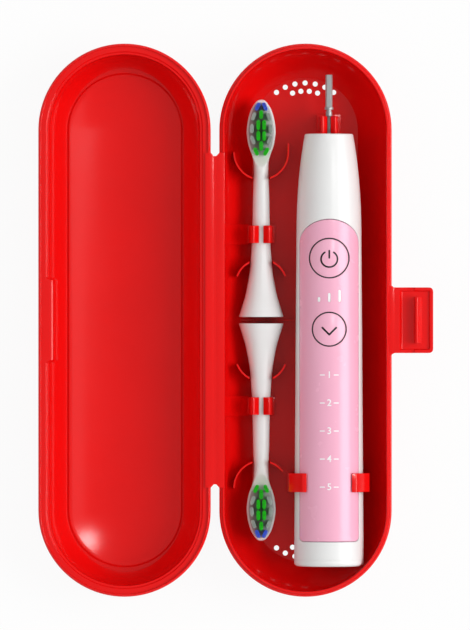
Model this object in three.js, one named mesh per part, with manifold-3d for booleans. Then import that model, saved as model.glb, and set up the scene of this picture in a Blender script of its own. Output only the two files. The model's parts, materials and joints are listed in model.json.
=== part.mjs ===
// Electric toothbrush travel case, lying open, with the brush handle and the two brush heads it carries.
// Millimetres. +X runs from the lid to the latch, +Y along the case and +Z up from the table.
// The origin is the middle of the base shell's flat underside.

import * as THREE from 'three';
import { mergeGeometries, mergeVertices } from 'three/addons/utils/BufferGeometryUtils.js';
import Module from 'manifold-3d';

const wasm = await Module();
wasm.setup();

// Gaps that every piece shares
const fit_gap = 0.3;
const overrun = 2;
const quarter_turn = Math.PI / 2;
const half_turn = Math.PI;

// Brush handle, whose axis runs along Y
const handle_length = 168.2;
const shoulder_length = 42.5;
const top_radius = 9.36;
const shoulder_radius = 12.67;
const bottom_radius = 13.55;
const shoulder_power = 2.35;
const shoulder_steps = 6;
const handle_sides = 32;
const handle_wall = 2.4;
const handle_top_corner = 0.6;
const cap_corner = 1.5;
const cap_height = 2.5;
const cap_corner_steps = 3;
const shaft_reach = 23.05;

// Brush heads: round at the flared foot and the neck, flat and wide at the bristles
const head_foot_y = 1.24;
const head_length = 84.83;
const foot_radius = 8.75;
const plate_half_height = 2.4;
const head_sides = 16;
const flat_power = 3.2;
const round_power = 2;
const face_height = 1.1;
const face_start_share = 0.735;
const recess_radius = 7.2;
const recess_depth = 2.5;
const coupling_radius = 3.2;
const coupling_length = 15;
const coupling_sides = 16;
const socket_depth = 13.5;
// Each row: place along the head, half width, as shares of head_length and foot_radius
const round_shares = [
  [0, 0.97],
  [0.008, 1],
  [0.0976, 0.758],
  [0.1646, 0.603],
  [0.2483, 0.493],
  [0.339, 0.415],
  [0.536, 0.37],
  [0.68, 0.325],
];
// Each row: place along the head, half width, half height, as shares of
// head_length, foot_radius and plate_half_height
const plate_shares = [
  [0.7104, 0.337, 1.12],
  [0.741, 0.402, 1.05],
  [0.7717, 0.513, 1],
  [0.8023, 0.593, 1],
  [0.854, 0.648, 1],
  [0.8943, 0.608, 1],
  [0.925, 0.544, 0.96],
  [0.9555, 0.44, 0.86],
  [0.986, 0.253, 0.62],
  [1, 0.1, 0.3],
];

// Case shells, stadiums in plan that are sized round the handle and the heads
const head_side_gap = 7.55;
const middle_gap = 4.07;
const handle_side_gap = 10.78;
const handle_end_gap = 11.8;
const shaft_end_gap = 11.95;
const head_end_gap = 12;
const handle_row = handle_end_gap + handle_length + shaft_reach + shaft_end_gap;
const head_row = 2 * (head_foot_y + head_length + head_end_gap);
const case_length = Math.max(handle_row, head_row);
const case_width = head_side_gap + 2 * foot_radius + middle_gap + 2 * bottom_radius + handle_side_gap;
const shell_depth = 22;
const wall = 1.6;
const shell_arc_steps = 16;
const edge_steps = 5;
const end_radius = case_width / 2;
const straight_half = (case_length - case_width) / 2;

// Where the handle and the heads lie in the base
const handle_x = end_radius - handle_side_gap - bottom_radius;
const handle_floor_gap = 0.4;
const handle_z = wall + handle_floor_gap + bottom_radius;
const handle_bottom = handle_end_gap - case_length / 2;
const handle_top = handle_bottom + handle_length;
const shoulder_y = handle_top - shoulder_length;
const cap_top = handle_bottom + cap_height;
const head_x = head_side_gap + foot_radius - end_radius;
const head_z = wall + fit_gap + foot_radius;
const head_tip_y = head_foot_y + head_length;

// Base shell
const base_edge_inset = 12.9;
const base_edge_height = 12.2;
const tongue_inset = 1.25;
const tongue_width = 1;
const tongue_height = 0.8;
const base_cavity_inset = tongue_inset + tongue_width;

// Lid shell
const lid_panel_inset = 11.7;
const lid_edge_height = 11.7;
const lid_dish_depth = 1.5;
const lid_dish_core_share = 0.27;
const lid_dish_steps = 3;
const lid_panel_step = 0.4;
const lid_wall_inset = 4.4;
const lid_ledge_inset = 4.1;
const lid_ledge_width = 0.8;
const lid_ledge_drop = 1;
const lid_land_width = 0.4;
const groove_gap = 0.2;
const groove_depth = 1.1;

// Living hinge between the shells
const hinge_gap = 1.67;
const hinge_end_margin = 8.9;
const hinge_half_length = straight_half - hinge_end_margin;
const hinge_notch = 1.3;
const hinge_land = 3.6;
const flange_thickness = 1.4;
const film_thickness = 0.5;
const film_half_width = 0.5;
const hinge_x = -end_radius - hinge_gap;
const lid_x = 2 * hinge_x;

// Vents, in two rows round each end
const vent_radius = 1;
const vent_sides = 8;
const vent_edge_margin = 2.25;
const vent_row_pitch = 3.1;
const outer_vent_row = end_radius - base_edge_inset - vent_edge_margin;
const inner_vent_row = outer_vent_row - vent_row_pitch;
const vent_pitch = THREE.MathUtils.degToRad(12.55);
const outer_vent_count = 7;
const inner_vent_count = 4;

// Front panel and buttons
const panel_half_width = 11.6;
const panel_arch_height = 9.3;
const panel_top_drop = 33.2;
const panel_top = handle_top - panel_top_drop;
const panel_bottom_rise = 9.8;
const panel_bottom = handle_bottom + panel_bottom_rise;
const panel_corner = 1.75;
const panel_thickness = 1;
const panel_curve_steps = 6;
const button_gap = 0.5;
const button_travel = 0.5;
const button_pitch = 27.7;
const power_button_drop = 15.1;
const power_button_y = panel_top - power_button_drop;
const power_button_radius = 7.65;
const mode_button_y = power_button_y - button_pitch;
const mode_button_radius = 6.6;
const button_sides = 24;
const stem_radius = 1.6;
const stem_sides = 12;

// Level light guide with its three bars
const level_bar_width = 1;
const level_bar_pitch = 4.02;
const level_bar_rise = 10.57;
const level_bar_bottom = mode_button_y + level_bar_rise;
const level_bar_heights = [1.94, 3.5, 4.74];
const guide_margin = 0.3;
const guide_half_width = level_bar_pitch + level_bar_width / 2 + guide_margin;
const guide_height = 1.3;

// Inside the handle, with places counted from the handle's ends
const board_side_gap = 0.61;
const board_bottom = 5.9;
const board_thickness = 1.2;
const board_top = board_bottom + board_thickness;
const board_rear_inset = 15.7;
const board_end_gap = 4;
const board_rear = handle_bottom + board_rear_inset;
const frame_thickness = 1.2;
const frame_shell_gap = 0.35;
const frame_rear_inset = 23.7;
const frame_rear = handle_bottom + frame_rear_inset;
const frame_steps = 16;
const switch_half_width = 3;
const switch_height = 1.6;
const plunger_radius = 1.5;
const plunger_height = 0.5;
const led_half_width = 0.8;
const led_half_length = 0.5;
const led_height = 0.7;
const led_count = 5;
const led_drop = 17.75;
const first_led_y = mode_button_y - led_drop;
const led_end_gap = 21.17;
const led_pitch = (first_led_y - panel_bottom - led_end_gap) / (led_count - 1);
const battery_radius = 7.1;
const battery_drop = board_bottom - battery_radius;
const battery_length = 50;
const battery_rear_inset = 25.7;
const battery_rear = handle_bottom + battery_rear_inset;
const battery_front = battery_rear + battery_length;
const battery_nub_radius = 2.6;
const battery_nub_height = 0.8;
const tab_thickness = 0.4;
const tab_half_width = 2.5;
const core_radius = 3.5;
const core_length = 10;
const coil_length = 7.5;
const spigot_gap = 0.35;
const spigot_radius = bottom_radius - handle_wall - spigot_gap;
const spigot_wall = 1.8;
const coil_side_gap = 0.5;
const coil_radius = spigot_radius - spigot_wall - coil_side_gap;
const spigot_length = 7.2;
const seal_groove_start = 2.7;
const seal_groove_width = 2;
const seal_groove_depth = 0.9;
const seal_shell_gap = 0.15;

// Drive unit
const stator_radius = 7.5;
const stator_wall = 2.3;
const stator_length = 24;
const stator_plate = 1.5;
const stator_top_drop = 11.5;
const stator_front = handle_top - stator_top_drop;
const stator_rear = stator_front - stator_length;
const damper_thickness = 0.6;
const armature_gap = 0.5;
const armature_radius = stator_radius - stator_wall - armature_gap;
const armature_end_gap = 3;
const armature_rear = stator_rear + stator_plate + armature_end_gap / 2;
const armature_front = stator_front - armature_end_gap;
const shaft_rear = stator_rear + stator_plate + armature_end_gap / 4;
const shaft_tip = handle_top + shaft_reach;
const shaft_tip_radius = 1.54;
const shaft_neck_radius = 1.25;
const shaft_groove_radius = 1;
const shaft_collar_radius = 1.71;
const shaft_tip_length = 12.55;
const shaft_collar_length = 1.1;
const shaft_groove_length = 0.7;
const shaft_collar_top = shaft_tip - shaft_tip_length;
const shaft_collar_bottom = shaft_collar_top - shaft_collar_length;
const shaft_groove_bottom = shaft_collar_bottom - shaft_groove_length;
const shaft_flat_height = 1.05;
const shaft_tip_bevel = 0.3;
const neck_hole_radius = 4.3;
const bearing_radius = 6.5;
const bearing_length = 3.6;
const seal_thickness = 1.8;
const shaft_sides = 16;

// Bristles, in tufts that stand on a plate let into the head
const bristle_plate_thickness = 0.9;
const bristle_plate_margin = 0.4;
const bristle_length = 8.6;
const strand_radius = 0.24;
const strand_sides = 3;
const strand_root = 0.6;
const strands_across = 2;
const strands_along = 6;
const widest_plate_row = 4;
const tuft_half_width = plate_shares[widest_plate_row][1] * foot_radius;
const tuft_field_length = (1 - plate_shares[0][0]) * head_length;
const strand_pitch_share = 0.026;
const strand_pitch_across = strand_pitch_share * tuft_field_length;
// Each row: across and along the bristle field, length along the field, lean in plan in degrees.
// Places are shares of tuft_half_width and tuft_field_length from the tip.
const centre_tuft_shares = [
  [0, 0.248, 0.137, 0],
  [0, 0.747, 0.148, 0],
];
const paired_tuft_shares = [
  [0.295, 0.125, 0.11, 25],
  [0.206, 0.413, 0.148, 0],
  [0.206, 0.588, 0.148, 0],
  [0.37, 0.836, 0.133, -18],
  [0.565, 0.285, 0.132, 14],
  [0.655, 0.466, 0.138, 0],
  [0.617, 0.653, 0.146, -10],
];

// Ribs on the base floor
const rib_thickness = 0.9;
const rib_height = 3.5;
const rib_steps = 10;
const tip_rib_radius = 10.57;
const tip_rib_setback = 20.71;
const tip_rib_y = head_tip_y - tip_rib_setback;
const tip_rib_leg = 3.5;
const cut_rib_angle = THREE.MathUtils.degToRad(37);
const foot_rib_radius = 10;
const foot_rib_setback = 12.44;
const foot_rib_y = head_foot_y + foot_rib_setback;
const foot_rib_half_angle = THREE.MathUtils.degToRad(70);
const divider_half_length = 12.85;

// Clips that hold the brush
const clip_length = 6.85;
const clip_pad_height = 0.5;
const clip_wall = 0.85;
const clip_foot_margin = 0.5;
const clip_sides = 20;
const head_clip_setback = 32.19;
const head_clip_y = head_foot_y + head_clip_setback;
const head_clip_bore = headRadius(head_clip_y - clip_length / 2) + fit_gap;
const head_clip_mouth = 1.7;
const head_clip_foot_height = 3.2;
const shaft_clip_y = handle_top + fit_gap + clip_length / 2;
const shaft_clip_gap = 0.75;
const shaft_clip_wall = 1.9;
const shaft_clip_mouth = 1;
const shaft_clip_foot_height = 3;
const shaft_clip_post_half = 2.4;
const arm_setback = 32.6;
const arm_y = handle_bottom + arm_setback;
const arm_length = 7.3;
const arm_side_gap = 1.04;
const arm_thickness = 1.4;
const arm_reach = handleRadius(arm_y) + arm_side_gap + arm_thickness;
const arm_rise = 5.21;
const arm_tip_width = 1.75;
const arm_tip_lift = 0.29;
const pad_height = 1.6;
const pad_margin = 0.6;

// Latch flap, which lies flat at rest and folds up against the closed lid
const latch_gap = 1.5;
const latch_x = end_radius + latch_gap;
const flap_half_length = 12.76;
const web_flare = 0.64;
const web_half_length = flap_half_length + web_flare;
const web_thickness = 1.2;
const flap_strip = 1.72;
const flap_reach = 14.63;
const flap_thickness = 1.2;
const flap_border = 1.2;
const flap_border_height = 1;
const catch_half_length = 8.65;
const catch_start = 7.35;
const catch_width = 2.72;
const catch_face_lean = 0.4;
const catch_crest_width = 0.85;
const catch_end = catch_start + catch_width;
const catch_height = 4.35;
const slot_margin = 0.2;
const slot_depth = 2.1;
const slot_start = catch_start - fit_gap / 2 - slot_margin;
const slot_width = catch_width + fit_gap / 2 + slot_margin / 2;
const pocket_half_length = 16.6;
const pocket_inset = 5.7;

// Finishes
const finish = {
  red_plastic: { color: 0xd01818, roughness: 0.32, metalness: 0 },
  white_plastic: { color: 0xf0f0f0, roughness: 0.3, metalness: 0 },
  pink_grip: { color: 0xf0b4cd, roughness: 0.45, metalness: 0 },
  steel: { color: 0xb4b4b4, roughness: 0.3, metalness: 1 },
  black_rubber: { color: 0x202020, roughness: 0.8, metalness: 0 },
  grey_plastic: { color: 0x8c9094, roughness: 0.55, metalness: 0 },
  green_board: { color: 0x1e6e3c, roughness: 0.5, metalness: 0 },
  battery_wrap: { color: 0x3c5a96, roughness: 0.45, metalness: 0 },
  nickel: { color: 0xc8c4b4, roughness: 0.35, metalness: 1 },
  copper: { color: 0xb87346, roughness: 0.4, metalness: 1 },
  ferrite: { color: 0x3a3a3c, roughness: 0.7, metalness: 0 },
  clear_guide: { color: 0xe8f4ec, roughness: 0.2, metalness: 0 },
  bristle: { color: 0x2cab46, roughness: 0.5, metalness: 0 },
};

// Geometry helpers

function signedVolume(position, index) {
  const a = new THREE.Vector3();
  const b = new THREE.Vector3();
  const c = new THREE.Vector3();
  let volume = 0;
  for (let i = 0; i < index.length; i += 3) {
    a.fromBufferAttribute(position, index[i]);
    b.fromBufferAttribute(position, index[i + 1]);
    c.fromBufferAttribute(position, index[i + 2]);
    volume += a.dot(b.cross(c));
  }
  return volume;
}

// Turns a closed three.js geometry into a solid, with its faces pointing out
function solid(geometry) {
  const bare = new THREE.BufferGeometry();
  bare.setAttribute('position', geometry.getAttribute('position').clone());
  if (geometry.index) {
    bare.setIndex(geometry.index.clone());
  }
  const merged = mergeVertices(bare);
  const position = merged.getAttribute('position');
  const triangles = [];
  for (let i = 0; i < merged.index.count; i += 3) {
    const corners = [0, 1, 2].map((corner) => merged.index.getX(i + corner));
    if (new Set(corners).size === corners.length) {
      triangles.push(...corners);
    }
  }
  if (signedVolume(position, triangles) < 0) {
    triangles.reverse();
  }
  const mesh = new wasm.Mesh({
    numProp: 3,
    vertProperties: new Float32Array(position.array),
    triVerts: new Uint32Array(triangles),
  });
  return new wasm.Manifold(mesh);
}

function geometryOf(manifold) {
  const mesh = manifold.getMesh();
  const geometry = new THREE.BufferGeometry();
  geometry.setAttribute('position', new THREE.BufferAttribute(mesh.vertProperties, 3));
  geometry.setIndex(new THREE.BufferAttribute(mesh.triVerts, 1));
  geometry.computeVertexNormals();
  return geometry;
}

function part(name, manifold, look) {
  const material = new THREE.MeshStandardMaterial(finish[look]);
  const mesh = new THREE.Mesh(geometryOf(manifold), material);
  mesh.name = name;
  return mesh;
}

function box(x_low, x_high, y_low, y_high, z_low, z_high) {
  const geometry = new THREE.BoxGeometry(x_high - x_low, y_high - y_low, z_high - z_low);
  geometry.translate((x_low + x_high) / 2, (y_low + y_high) / 2, (z_low + z_high) / 2);
  return solid(geometry);
}

// An outline in X and Y, extruded up from z_low to z_high
function uprightPrism(outline, z_low, z_high, curveSegments) {
  const options = { depth: z_high - z_low, bevelEnabled: false, curveSegments };
  const geometry = new THREE.ExtrudeGeometry(outline, options);
  geometry.translate(0, 0, z_low);
  return solid(geometry);
}

// An outline in X and Z, extruded along the case from y_low to y_high
function lengthwisePrism(outline, y_low, y_high, curveSegments) {
  const options = { depth: y_high - y_low, bevelEnabled: false, curveSegments };
  const geometry = new THREE.ExtrudeGeometry(outline, options);
  geometry.rotateX(quarter_turn);
  geometry.translate(0, y_high, 0);
  return solid(geometry);
}

function uprightCylinder(x, y, radius, z_low, z_high, sides) {
  const geometry = new THREE.CylinderGeometry(radius, radius, z_high - z_low, sides);
  geometry.rotateX(quarter_turn);
  geometry.translate(x, y, (z_low + z_high) / 2);
  return solid(geometry);
}

function lengthwiseCylinder(x, z, radius, y_low, y_high, sides) {
  const geometry = new THREE.CylinderGeometry(radius, radius, y_high - y_low, sides);
  geometry.translate(x, (y_low + y_high) / 2, z);
  return solid(geometry);
}

// A tube round the Y axis
function sleeve(outer, bore, y_low, y_high, sides) {
  const profile = [
    [bore, y_low],
    [outer, y_low],
    [outer, y_high],
    [bore, y_high],
    [bore, y_low],
  ];
  return turned(profile, sides);
}

// A profile of radius and height, turned round the Y axis
function turned(profile, sides) {
  const points = profile.map(([radius, y]) => new THREE.Vector2(radius, y));
  return solid(new THREE.LatheGeometry(points, sides));
}

function polygon(points) {
  return new THREE.Shape(points.map(([x, y]) => new THREE.Vector2(x, y)));
}

// Skins rings of points into one closed body with flat ends
function loft(rings) {
  const count = rings[0].length;
  const index = [];
  for (let ring = 0; ring + 1 < rings.length; ring += 1) {
    for (let i = 0; i < count; i += 1) {
      const next = (i + 1) % count;
      const low = ring * count;
      const high = low + count;
      index.push(low + i, low + next, high + next);
      index.push(low + i, high + next, high + i);
    }
  }
  const last = (rings.length - 1) * count;
  for (let i = 1; i + 1 < count; i += 1) {
    index.push(0, i + 1, i);
    index.push(last, last + i, last + i + 1);
  }
  const geometry = new THREE.BufferGeometry();
  geometry.setAttribute('position', new THREE.Float32BufferAttribute(rings.flat(2), 3));
  geometry.setIndex(index);
  return solid(geometry);
}

// Case shells

function stadiumRing(x, inset, z) {
  const radius = end_radius - inset;
  const ring = [];
  for (const end of [1, -1]) {
    for (let step = 0; step <= shell_arc_steps; step += 1) {
      const angle = (half_turn * step) / shell_arc_steps;
      ring.push([x + end * radius * Math.cos(angle), end * (straight_half + radius * Math.sin(angle)), z]);
    }
  }
  return ring;
}

// Rows of inset and height for a wall that curves from flat to upright
function edgeRows(flat_inset, upright_inset, low, rise) {
  const rows = [];
  for (let step = 0; step <= edge_steps; step += 1) {
    const angle = (quarter_turn * step) / edge_steps;
    const inset = upright_inset + (flat_inset - upright_inset) * (1 - Math.sin(angle));
    rows.push([inset, low + rise * (1 - Math.cos(angle))]);
  }
  return rows;
}

function stadiumLoft(x, rows) {
  return loft(rows.map(([inset, z]) => stadiumRing(x, inset, z)));
}

// A band that follows the rim, between two insets
function rimBand(x, inset, width, z_low, z_high) {
  const outside = stadiumLoft(x, [[inset, z_low], [inset, z_high]]);
  const inner = inset + width;
  const inside = stadiumLoft(x, [[inner, z_low - overrun], [inner, z_high + overrun]]);
  return outside.subtract(inside);
}

// The flat land beside the hinge line, from side_x towards the hinge, with notched ends
function hingeLand(side_x, towards_hinge) {
  const edge = hinge_x - towards_hinge * film_half_width;
  const outline = polygon([
    [side_x, -hinge_half_length],
    [edge, hinge_notch - hinge_half_length],
    [edge, hinge_half_length - hinge_notch],
    [side_x, hinge_half_length],
  ]);
  return uprightPrism(outline, shell_depth - flange_thickness, shell_depth);
}

function ventHoles(x) {
  const holes = [];
  const rows = [
    [outer_vent_row, outer_vent_count],
    [inner_vent_row, inner_vent_count],
  ];
  for (const end of [1, -1]) {
    for (const [radius, count] of rows) {
      for (let i = 0; i < count; i += 1) {
        const angle = vent_pitch * (i - (count - 1) / 2);
        const y = end * (straight_half + radius * Math.cos(angle));
        const hole_x = x + radius * Math.sin(angle);
        holes.push(uprightCylinder(hole_x, y, vent_radius, -overrun, wall + overrun, vent_sides));
      }
    }
  }
  return holes;
}

// A rib that follows an arc about (x, y), on the floor
function arcRib(x, y, radius, from, to) {
  const outline = new THREE.Shape();
  outline.absarc(x, y, radius + rib_thickness / 2, from, to, false);
  outline.absarc(x, y, radius - rib_thickness / 2, to, from, true);
  return uprightPrism(outline, wall / 2, wall + rib_height, rib_steps);
}

function floorRibs() {
  const half = rib_thickness / 2;
  const top = wall + rib_height;
  const divider_start = tongue_inset - end_radius;
  const divider_end = head_x + divider_half_length;
  const ribs = [box(divider_start, divider_end, -half, half, wall / 2, top)];
  ribs.push(arcRib(head_x, tip_rib_y, tip_rib_radius, half_turn, 2 * half_turn));
  const leg_x = head_x + tip_rib_radius;
  ribs.push(box(leg_x - half, leg_x + half, tip_rib_y, tip_rib_y + tip_rib_leg, wall / 2, top));
  ribs.push(arcRib(head_x, -tip_rib_y, tip_rib_radius, cut_rib_angle, half_turn));
  for (const end of [1, -1]) {
    const from = end * quarter_turn - foot_rib_half_angle;
    const to = end * quarter_turn + foot_rib_half_angle;
    ribs.push(arcRib(head_x, end * foot_rib_y, foot_rib_radius, from, to));
  }
  return ribs;
}

// A flat-topped pad on the floor, a margin wider than what stands on it
function floorPad(x_low, x_high, y, length, margin, height) {
  const half = length / 2 + margin;
  return box(x_low - margin, x_high + margin, y - half, y + half, wall / 2, wall + height);
}

const head_clip = clipSize(
  head_clip_bore, clip_wall, head_clip_mouth, head_clip_foot_height, head_clip_bore + clip_wall,
);
const shaft_clip = clipSize(
  shaft_neck_radius + shaft_clip_gap, shaft_clip_wall,
  shaft_clip_mouth, shaft_clip_foot_height, shaft_clip_post_half,
);

function clipPads() {
  const pads = [];
  for (const y of [head_clip_y, -head_clip_y]) {
    const low = head_x - head_clip.foot_half;
    const high = head_x + head_clip.foot_half;
    pads.push(floorPad(low, high, y, clip_length, fit_gap, clip_pad_height));
  }
  const low = handle_x - shaft_clip.foot_half;
  const high = handle_x + shaft_clip.foot_half;
  pads.push(floorPad(low, high, shaft_clip_y, clip_length, fit_gap, clip_pad_height));
  for (const side of [1, -1]) {
    const outer = handle_x + side * arm_reach;
    const inner = handle_x + side * (arm_reach - arm_thickness);
    const arm_low = Math.min(outer, inner);
    const arm_high = Math.max(outer, inner);
    pads.push(floorPad(arm_low, arm_high, arm_y, arm_length, pad_margin, pad_height));
  }
  return pads;
}

function latchWeb() {
  const edge = latch_x - film_half_width;
  const outline = polygon([
    [end_radius - tongue_inset, -web_half_length],
    [end_radius, -web_half_length],
    [edge, -flap_half_length],
    [edge, flap_half_length],
    [end_radius, web_half_length],
    [end_radius - tongue_inset, web_half_length],
  ]);
  return uprightPrism(outline, shell_depth - web_thickness, shell_depth);
}

function baseShell() {
  const outside = [
    ...edgeRows(base_edge_inset, 0, 0, base_edge_height),
    [0, shell_depth],
  ];
  const cavity_rise = base_edge_inset - base_cavity_inset;
  const inside = [
    ...edgeRows(base_edge_inset, base_cavity_inset, wall, cavity_rise),
    [base_cavity_inset, shell_depth + overrun],
  ];
  const outer = stadiumLoft(0, outside);
  const tongue_low = shell_depth - tongue_height;
  const tongue = rimBand(0, tongue_inset, tongue_width, tongue_low, shell_depth + tongue_height);
  const hinge_zone = box(
    hinge_x, base_cavity_inset + fit_gap - end_radius,
    -hinge_half_length, hinge_half_length,
    shell_depth, shell_depth + overrun,
  );
  const hollow = outer.add(tongue.subtract(hinge_zone)).subtract(stadiumLoft(0, inside));
  const within = stadiumLoft(0, [...edgeRows(base_edge_inset, 0, 0, base_edge_height), [0, shell_depth]]);
  const additions = [...floorRibs(), ...clipPads()].map((piece) => piece.intersect(within));
  const lands = [hingeLand(hinge_x + hinge_land, -1), latchWeb()];
  const body = wasm.Manifold.union([hollow, ...additions, ...lands]);
  return wasm.Manifold.difference([body, ...ventHoles(0)]);
}

// Inset and height of the lid's dished panel, from its middle to its edge
function dishRows() {
  const edge_radius = end_radius - lid_panel_inset;
  const rows = [];
  for (let step = 0; step <= lid_dish_steps; step += 1) {
    const reach_share = lid_dish_core_share + ((1 - lid_dish_core_share) * step) / lid_dish_steps;
    const radius = edge_radius * reach_share;
    rows.push([end_radius - radius, wall + lid_dish_depth * (radius / edge_radius) ** 2]);
  }
  return rows;
}

function lidShell() {
  const outside = [
    ...edgeRows(lid_panel_inset, 0, 0, lid_edge_height),
    [0, shell_depth],
  ];
  const panel_edge = wall + lid_dish_depth + lid_panel_step;
  const ledge = shell_depth - lid_ledge_drop;
  const ledge_start = lid_ledge_inset - lid_ledge_width;
  const inside = [
    ...dishRows(),
    ...edgeRows(lid_panel_inset, lid_wall_inset, panel_edge, lid_panel_inset - lid_wall_inset),
    [lid_ledge_inset, ledge],
    [ledge_start, ledge],
    [ledge_start - lid_land_width, shell_depth],
    [ledge_start - lid_land_width, shell_depth + overrun],
  ];
  const groove_inset = tongue_inset - groove_gap;
  const groove_width = tongue_width + 2 * groove_gap;
  const groove_floor = shell_depth - groove_depth;
  const groove = rimBand(lid_x, groove_inset, groove_width, groove_floor, shell_depth + overrun);
  const hinge_side = lid_x + end_radius - hinge_land;
  const hinge_zone = box(
    hinge_side, hinge_x,
    -hinge_half_length, hinge_half_length,
    groove_floor - overrun, shell_depth + overrun,
  );
  const outer = stadiumLoft(lid_x, outside);
  const hollow = outer.subtract(stadiumLoft(lid_x, inside));
  const pocket = catchPocket().intersect(outer);
  const body = wasm.Manifold.union([hollow, pocket, hingeLand(hinge_x - hinge_land, 1)]);
  return wasm.Manifold.difference([body, groove.subtract(hinge_zone), latchSlot()]);
}

// The thick stretch of the lid wall that the latch slot is cut into
function catchPocket() {
  const left = lid_x - end_radius;
  const outer = left + lid_ledge_inset - lid_ledge_width;
  const inner = left + pocket_inset;
  return box(outer, inner, -pocket_half_length, pocket_half_length, wall, shell_depth);
}

// The slot in the lid's outer face that the latch's catch hooks into
function latchSlot() {
  const left = lid_x - end_radius;
  const half_length = catch_half_length + fit_gap;
  const top = shell_depth - slot_start;
  return box(left - overrun, left + slot_depth, -half_length, half_length, top - slot_width, top);
}

function hingeFilm(x, half_length) {
  const half = film_half_width - fit_gap;
  const low = shell_depth - film_thickness;
  return box(x - half, x + half, -half_length, half_length, low, shell_depth);
}

// Latch

function latchFlap() {
  const start = latch_x + film_half_width;
  const tray_start = latch_x + flap_strip;
  const end = latch_x + flap_reach;
  const low = shell_depth - flap_border_height - flap_thickness;
  const slab = box(start, end, -flap_half_length, flap_half_length, low, shell_depth);
  const tray_end = end - flap_border;
  const tray_half = flap_half_length - flap_border;
  const tray_floor = shell_depth - flap_border_height;
  const tray = box(tray_start, tray_end, -tray_half, tray_half, tray_floor, shell_depth + overrun);
  const root = tray_floor - flap_thickness / 2;
  const crest = tray_floor + catch_height;
  const catch_outline = polygon([
    [latch_x + catch_start, root],
    [latch_x + catch_end, root],
    [latch_x + catch_end, tray_floor],
    [latch_x + catch_start + catch_face_lean + catch_crest_width, crest],
    [latch_x + catch_start + catch_face_lean, crest],
    [latch_x + catch_start, tray_floor],
  ]);
  const catch_rib = lengthwisePrism(catch_outline, -catch_half_length, catch_half_length);
  return slab.subtract(tray).add(catch_rib);
}

// Clips

function clipSize(bore, thickness, mouth, foot_height, post_half) {
  const outer = bore + thickness;
  return { bore, outer, mouth, foot_height, post_half, foot_half: outer + clip_foot_margin };
}

function ringClip(size, axis_z, y_middle) {
  const low = y_middle - clip_length / 2;
  const high = y_middle + clip_length / 2;
  const ring = lengthwiseCylinder(0, axis_z, size.outer, low, high, clip_sides);
  const base = wall + clip_pad_height;
  const foot = box(-size.foot_half, size.foot_half, low, high, base, base + size.foot_height);
  const post = box(-size.post_half, size.post_half, low, high, base, axis_z);
  const bore = lengthwiseCylinder(0, axis_z, size.bore, low - overrun, high + overrun, clip_sides);
  const mouth_half = size.mouth / 2;
  const mouth_top = axis_z + size.outer + overrun;
  const mouth = box(-mouth_half, mouth_half, low - overrun, high + overrun, axis_z, mouth_top);
  return wasm.Manifold.union([ring, foot, post]).subtract(bore).subtract(mouth);
}

// An upright arm whose top leans in at 45 degrees over the handle
function handleArm(side) {
  const inner_sum = Math.SQRT2 * (handleRadius(arm_y - arm_length / 2) + fit_gap);
  const inner_bend = inner_sum - arm_reach + arm_thickness;
  const outer_bend = inner_bend + arm_thickness * Math.tan(quarter_turn / 4);
  const crest_x = arm_reach - arm_rise;
  const crest_z = outer_bend + arm_rise;
  const tip_x = crest_x - arm_tip_width;
  const foot = wall + pad_height - handle_z;
  const outline = [
    [arm_reach - arm_thickness, foot],
    [arm_reach, foot],
    [arm_reach, outer_bend],
    [crest_x, crest_z],
    [crest_x - arm_tip_width / 2, crest_z + arm_tip_lift],
    [tip_x, inner_sum - tip_x],
    [arm_reach - arm_thickness, inner_bend],
  ];
  const placed = outline.map(([x, z]) => [handle_x + side * x, handle_z + z]);
  return lengthwisePrism(polygon(placed), arm_y - arm_length / 2, arm_y + arm_length / 2);
}

// Handle, drawn round the Y axis

function handleRadius(y) {
  if (y <= shoulder_y) {
    const taper_share = (shoulder_y - y) / (shoulder_y - handle_bottom);
    return shoulder_radius + (bottom_radius - shoulder_radius) * taper_share;
  }
  const rise_share = (y - shoulder_y) / (handle_top - shoulder_y);
  return shoulder_radius - (shoulder_radius - top_radius) * rise_share ** shoulder_power;
}

// Profile points from y_low to y_high, a set depth under the handle's surface
function handleRun(y_low, y_high, depth) {
  const run = [[handleRadius(y_low) - depth, y_low]];
  if (y_low < shoulder_y && y_high > shoulder_y) {
    run.push([handleRadius(shoulder_y) - depth, shoulder_y]);
  }
  for (let step = 1; step <= shoulder_steps; step += 1) {
    const y = shoulder_y + ((handle_top - shoulder_y) * step) / shoulder_steps;
    if (y > y_low && y < y_high) {
      run.push([handleRadius(y) - depth, y]);
    }
  }
  run.push([handleRadius(y_high) - depth, y_high]);
  return run;
}

// The layer of the handle between two depths under its surface
function handleLayer(y_low, y_high, outer_depth, inner_depth) {
  const outer = handleRun(y_low, y_high, outer_depth);
  const inner = handleRun(y_low, y_high, inner_depth).reverse();
  return turned([...outer, ...inner, outer[0]], handle_sides);
}

function panelOutline(margin) {
  const half = panel_half_width + margin;
  const low = panel_bottom - margin;
  const corner = panel_corner + margin;
  const arch_y = panel_top - panel_arch_height;
  const outline = new THREE.Shape();
  outline.moveTo(corner - half, low);
  outline.lineTo(half - corner, low);
  outline.absarc(half - corner, low + corner, corner, -quarter_turn, 0, false);
  outline.lineTo(half, arch_y);
  outline.absellipse(0, arch_y, half, panel_arch_height + margin, 0, half_turn, false, 0);
  outline.lineTo(-half, low + corner);
  outline.absarc(corner - half, low + corner, corner, half_turn, half_turn + quarter_turn, false);
  return outline;
}

function buttonBore(y, radius) {
  return uprightCylinder(0, y, radius + button_gap, 0, bottom_radius + overrun, button_sides);
}

function levelWindows(margin) {
  return level_bar_heights.map((height, i) => {
    const x = level_bar_pitch * (i - 1);
    const half = level_bar_width / 2 + margin;
    const low = level_bar_bottom - margin;
    const high = level_bar_bottom + height + margin;
    return box(x - half, x + half, low, high, board_top, bottom_radius + overrun);
  });
}

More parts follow.
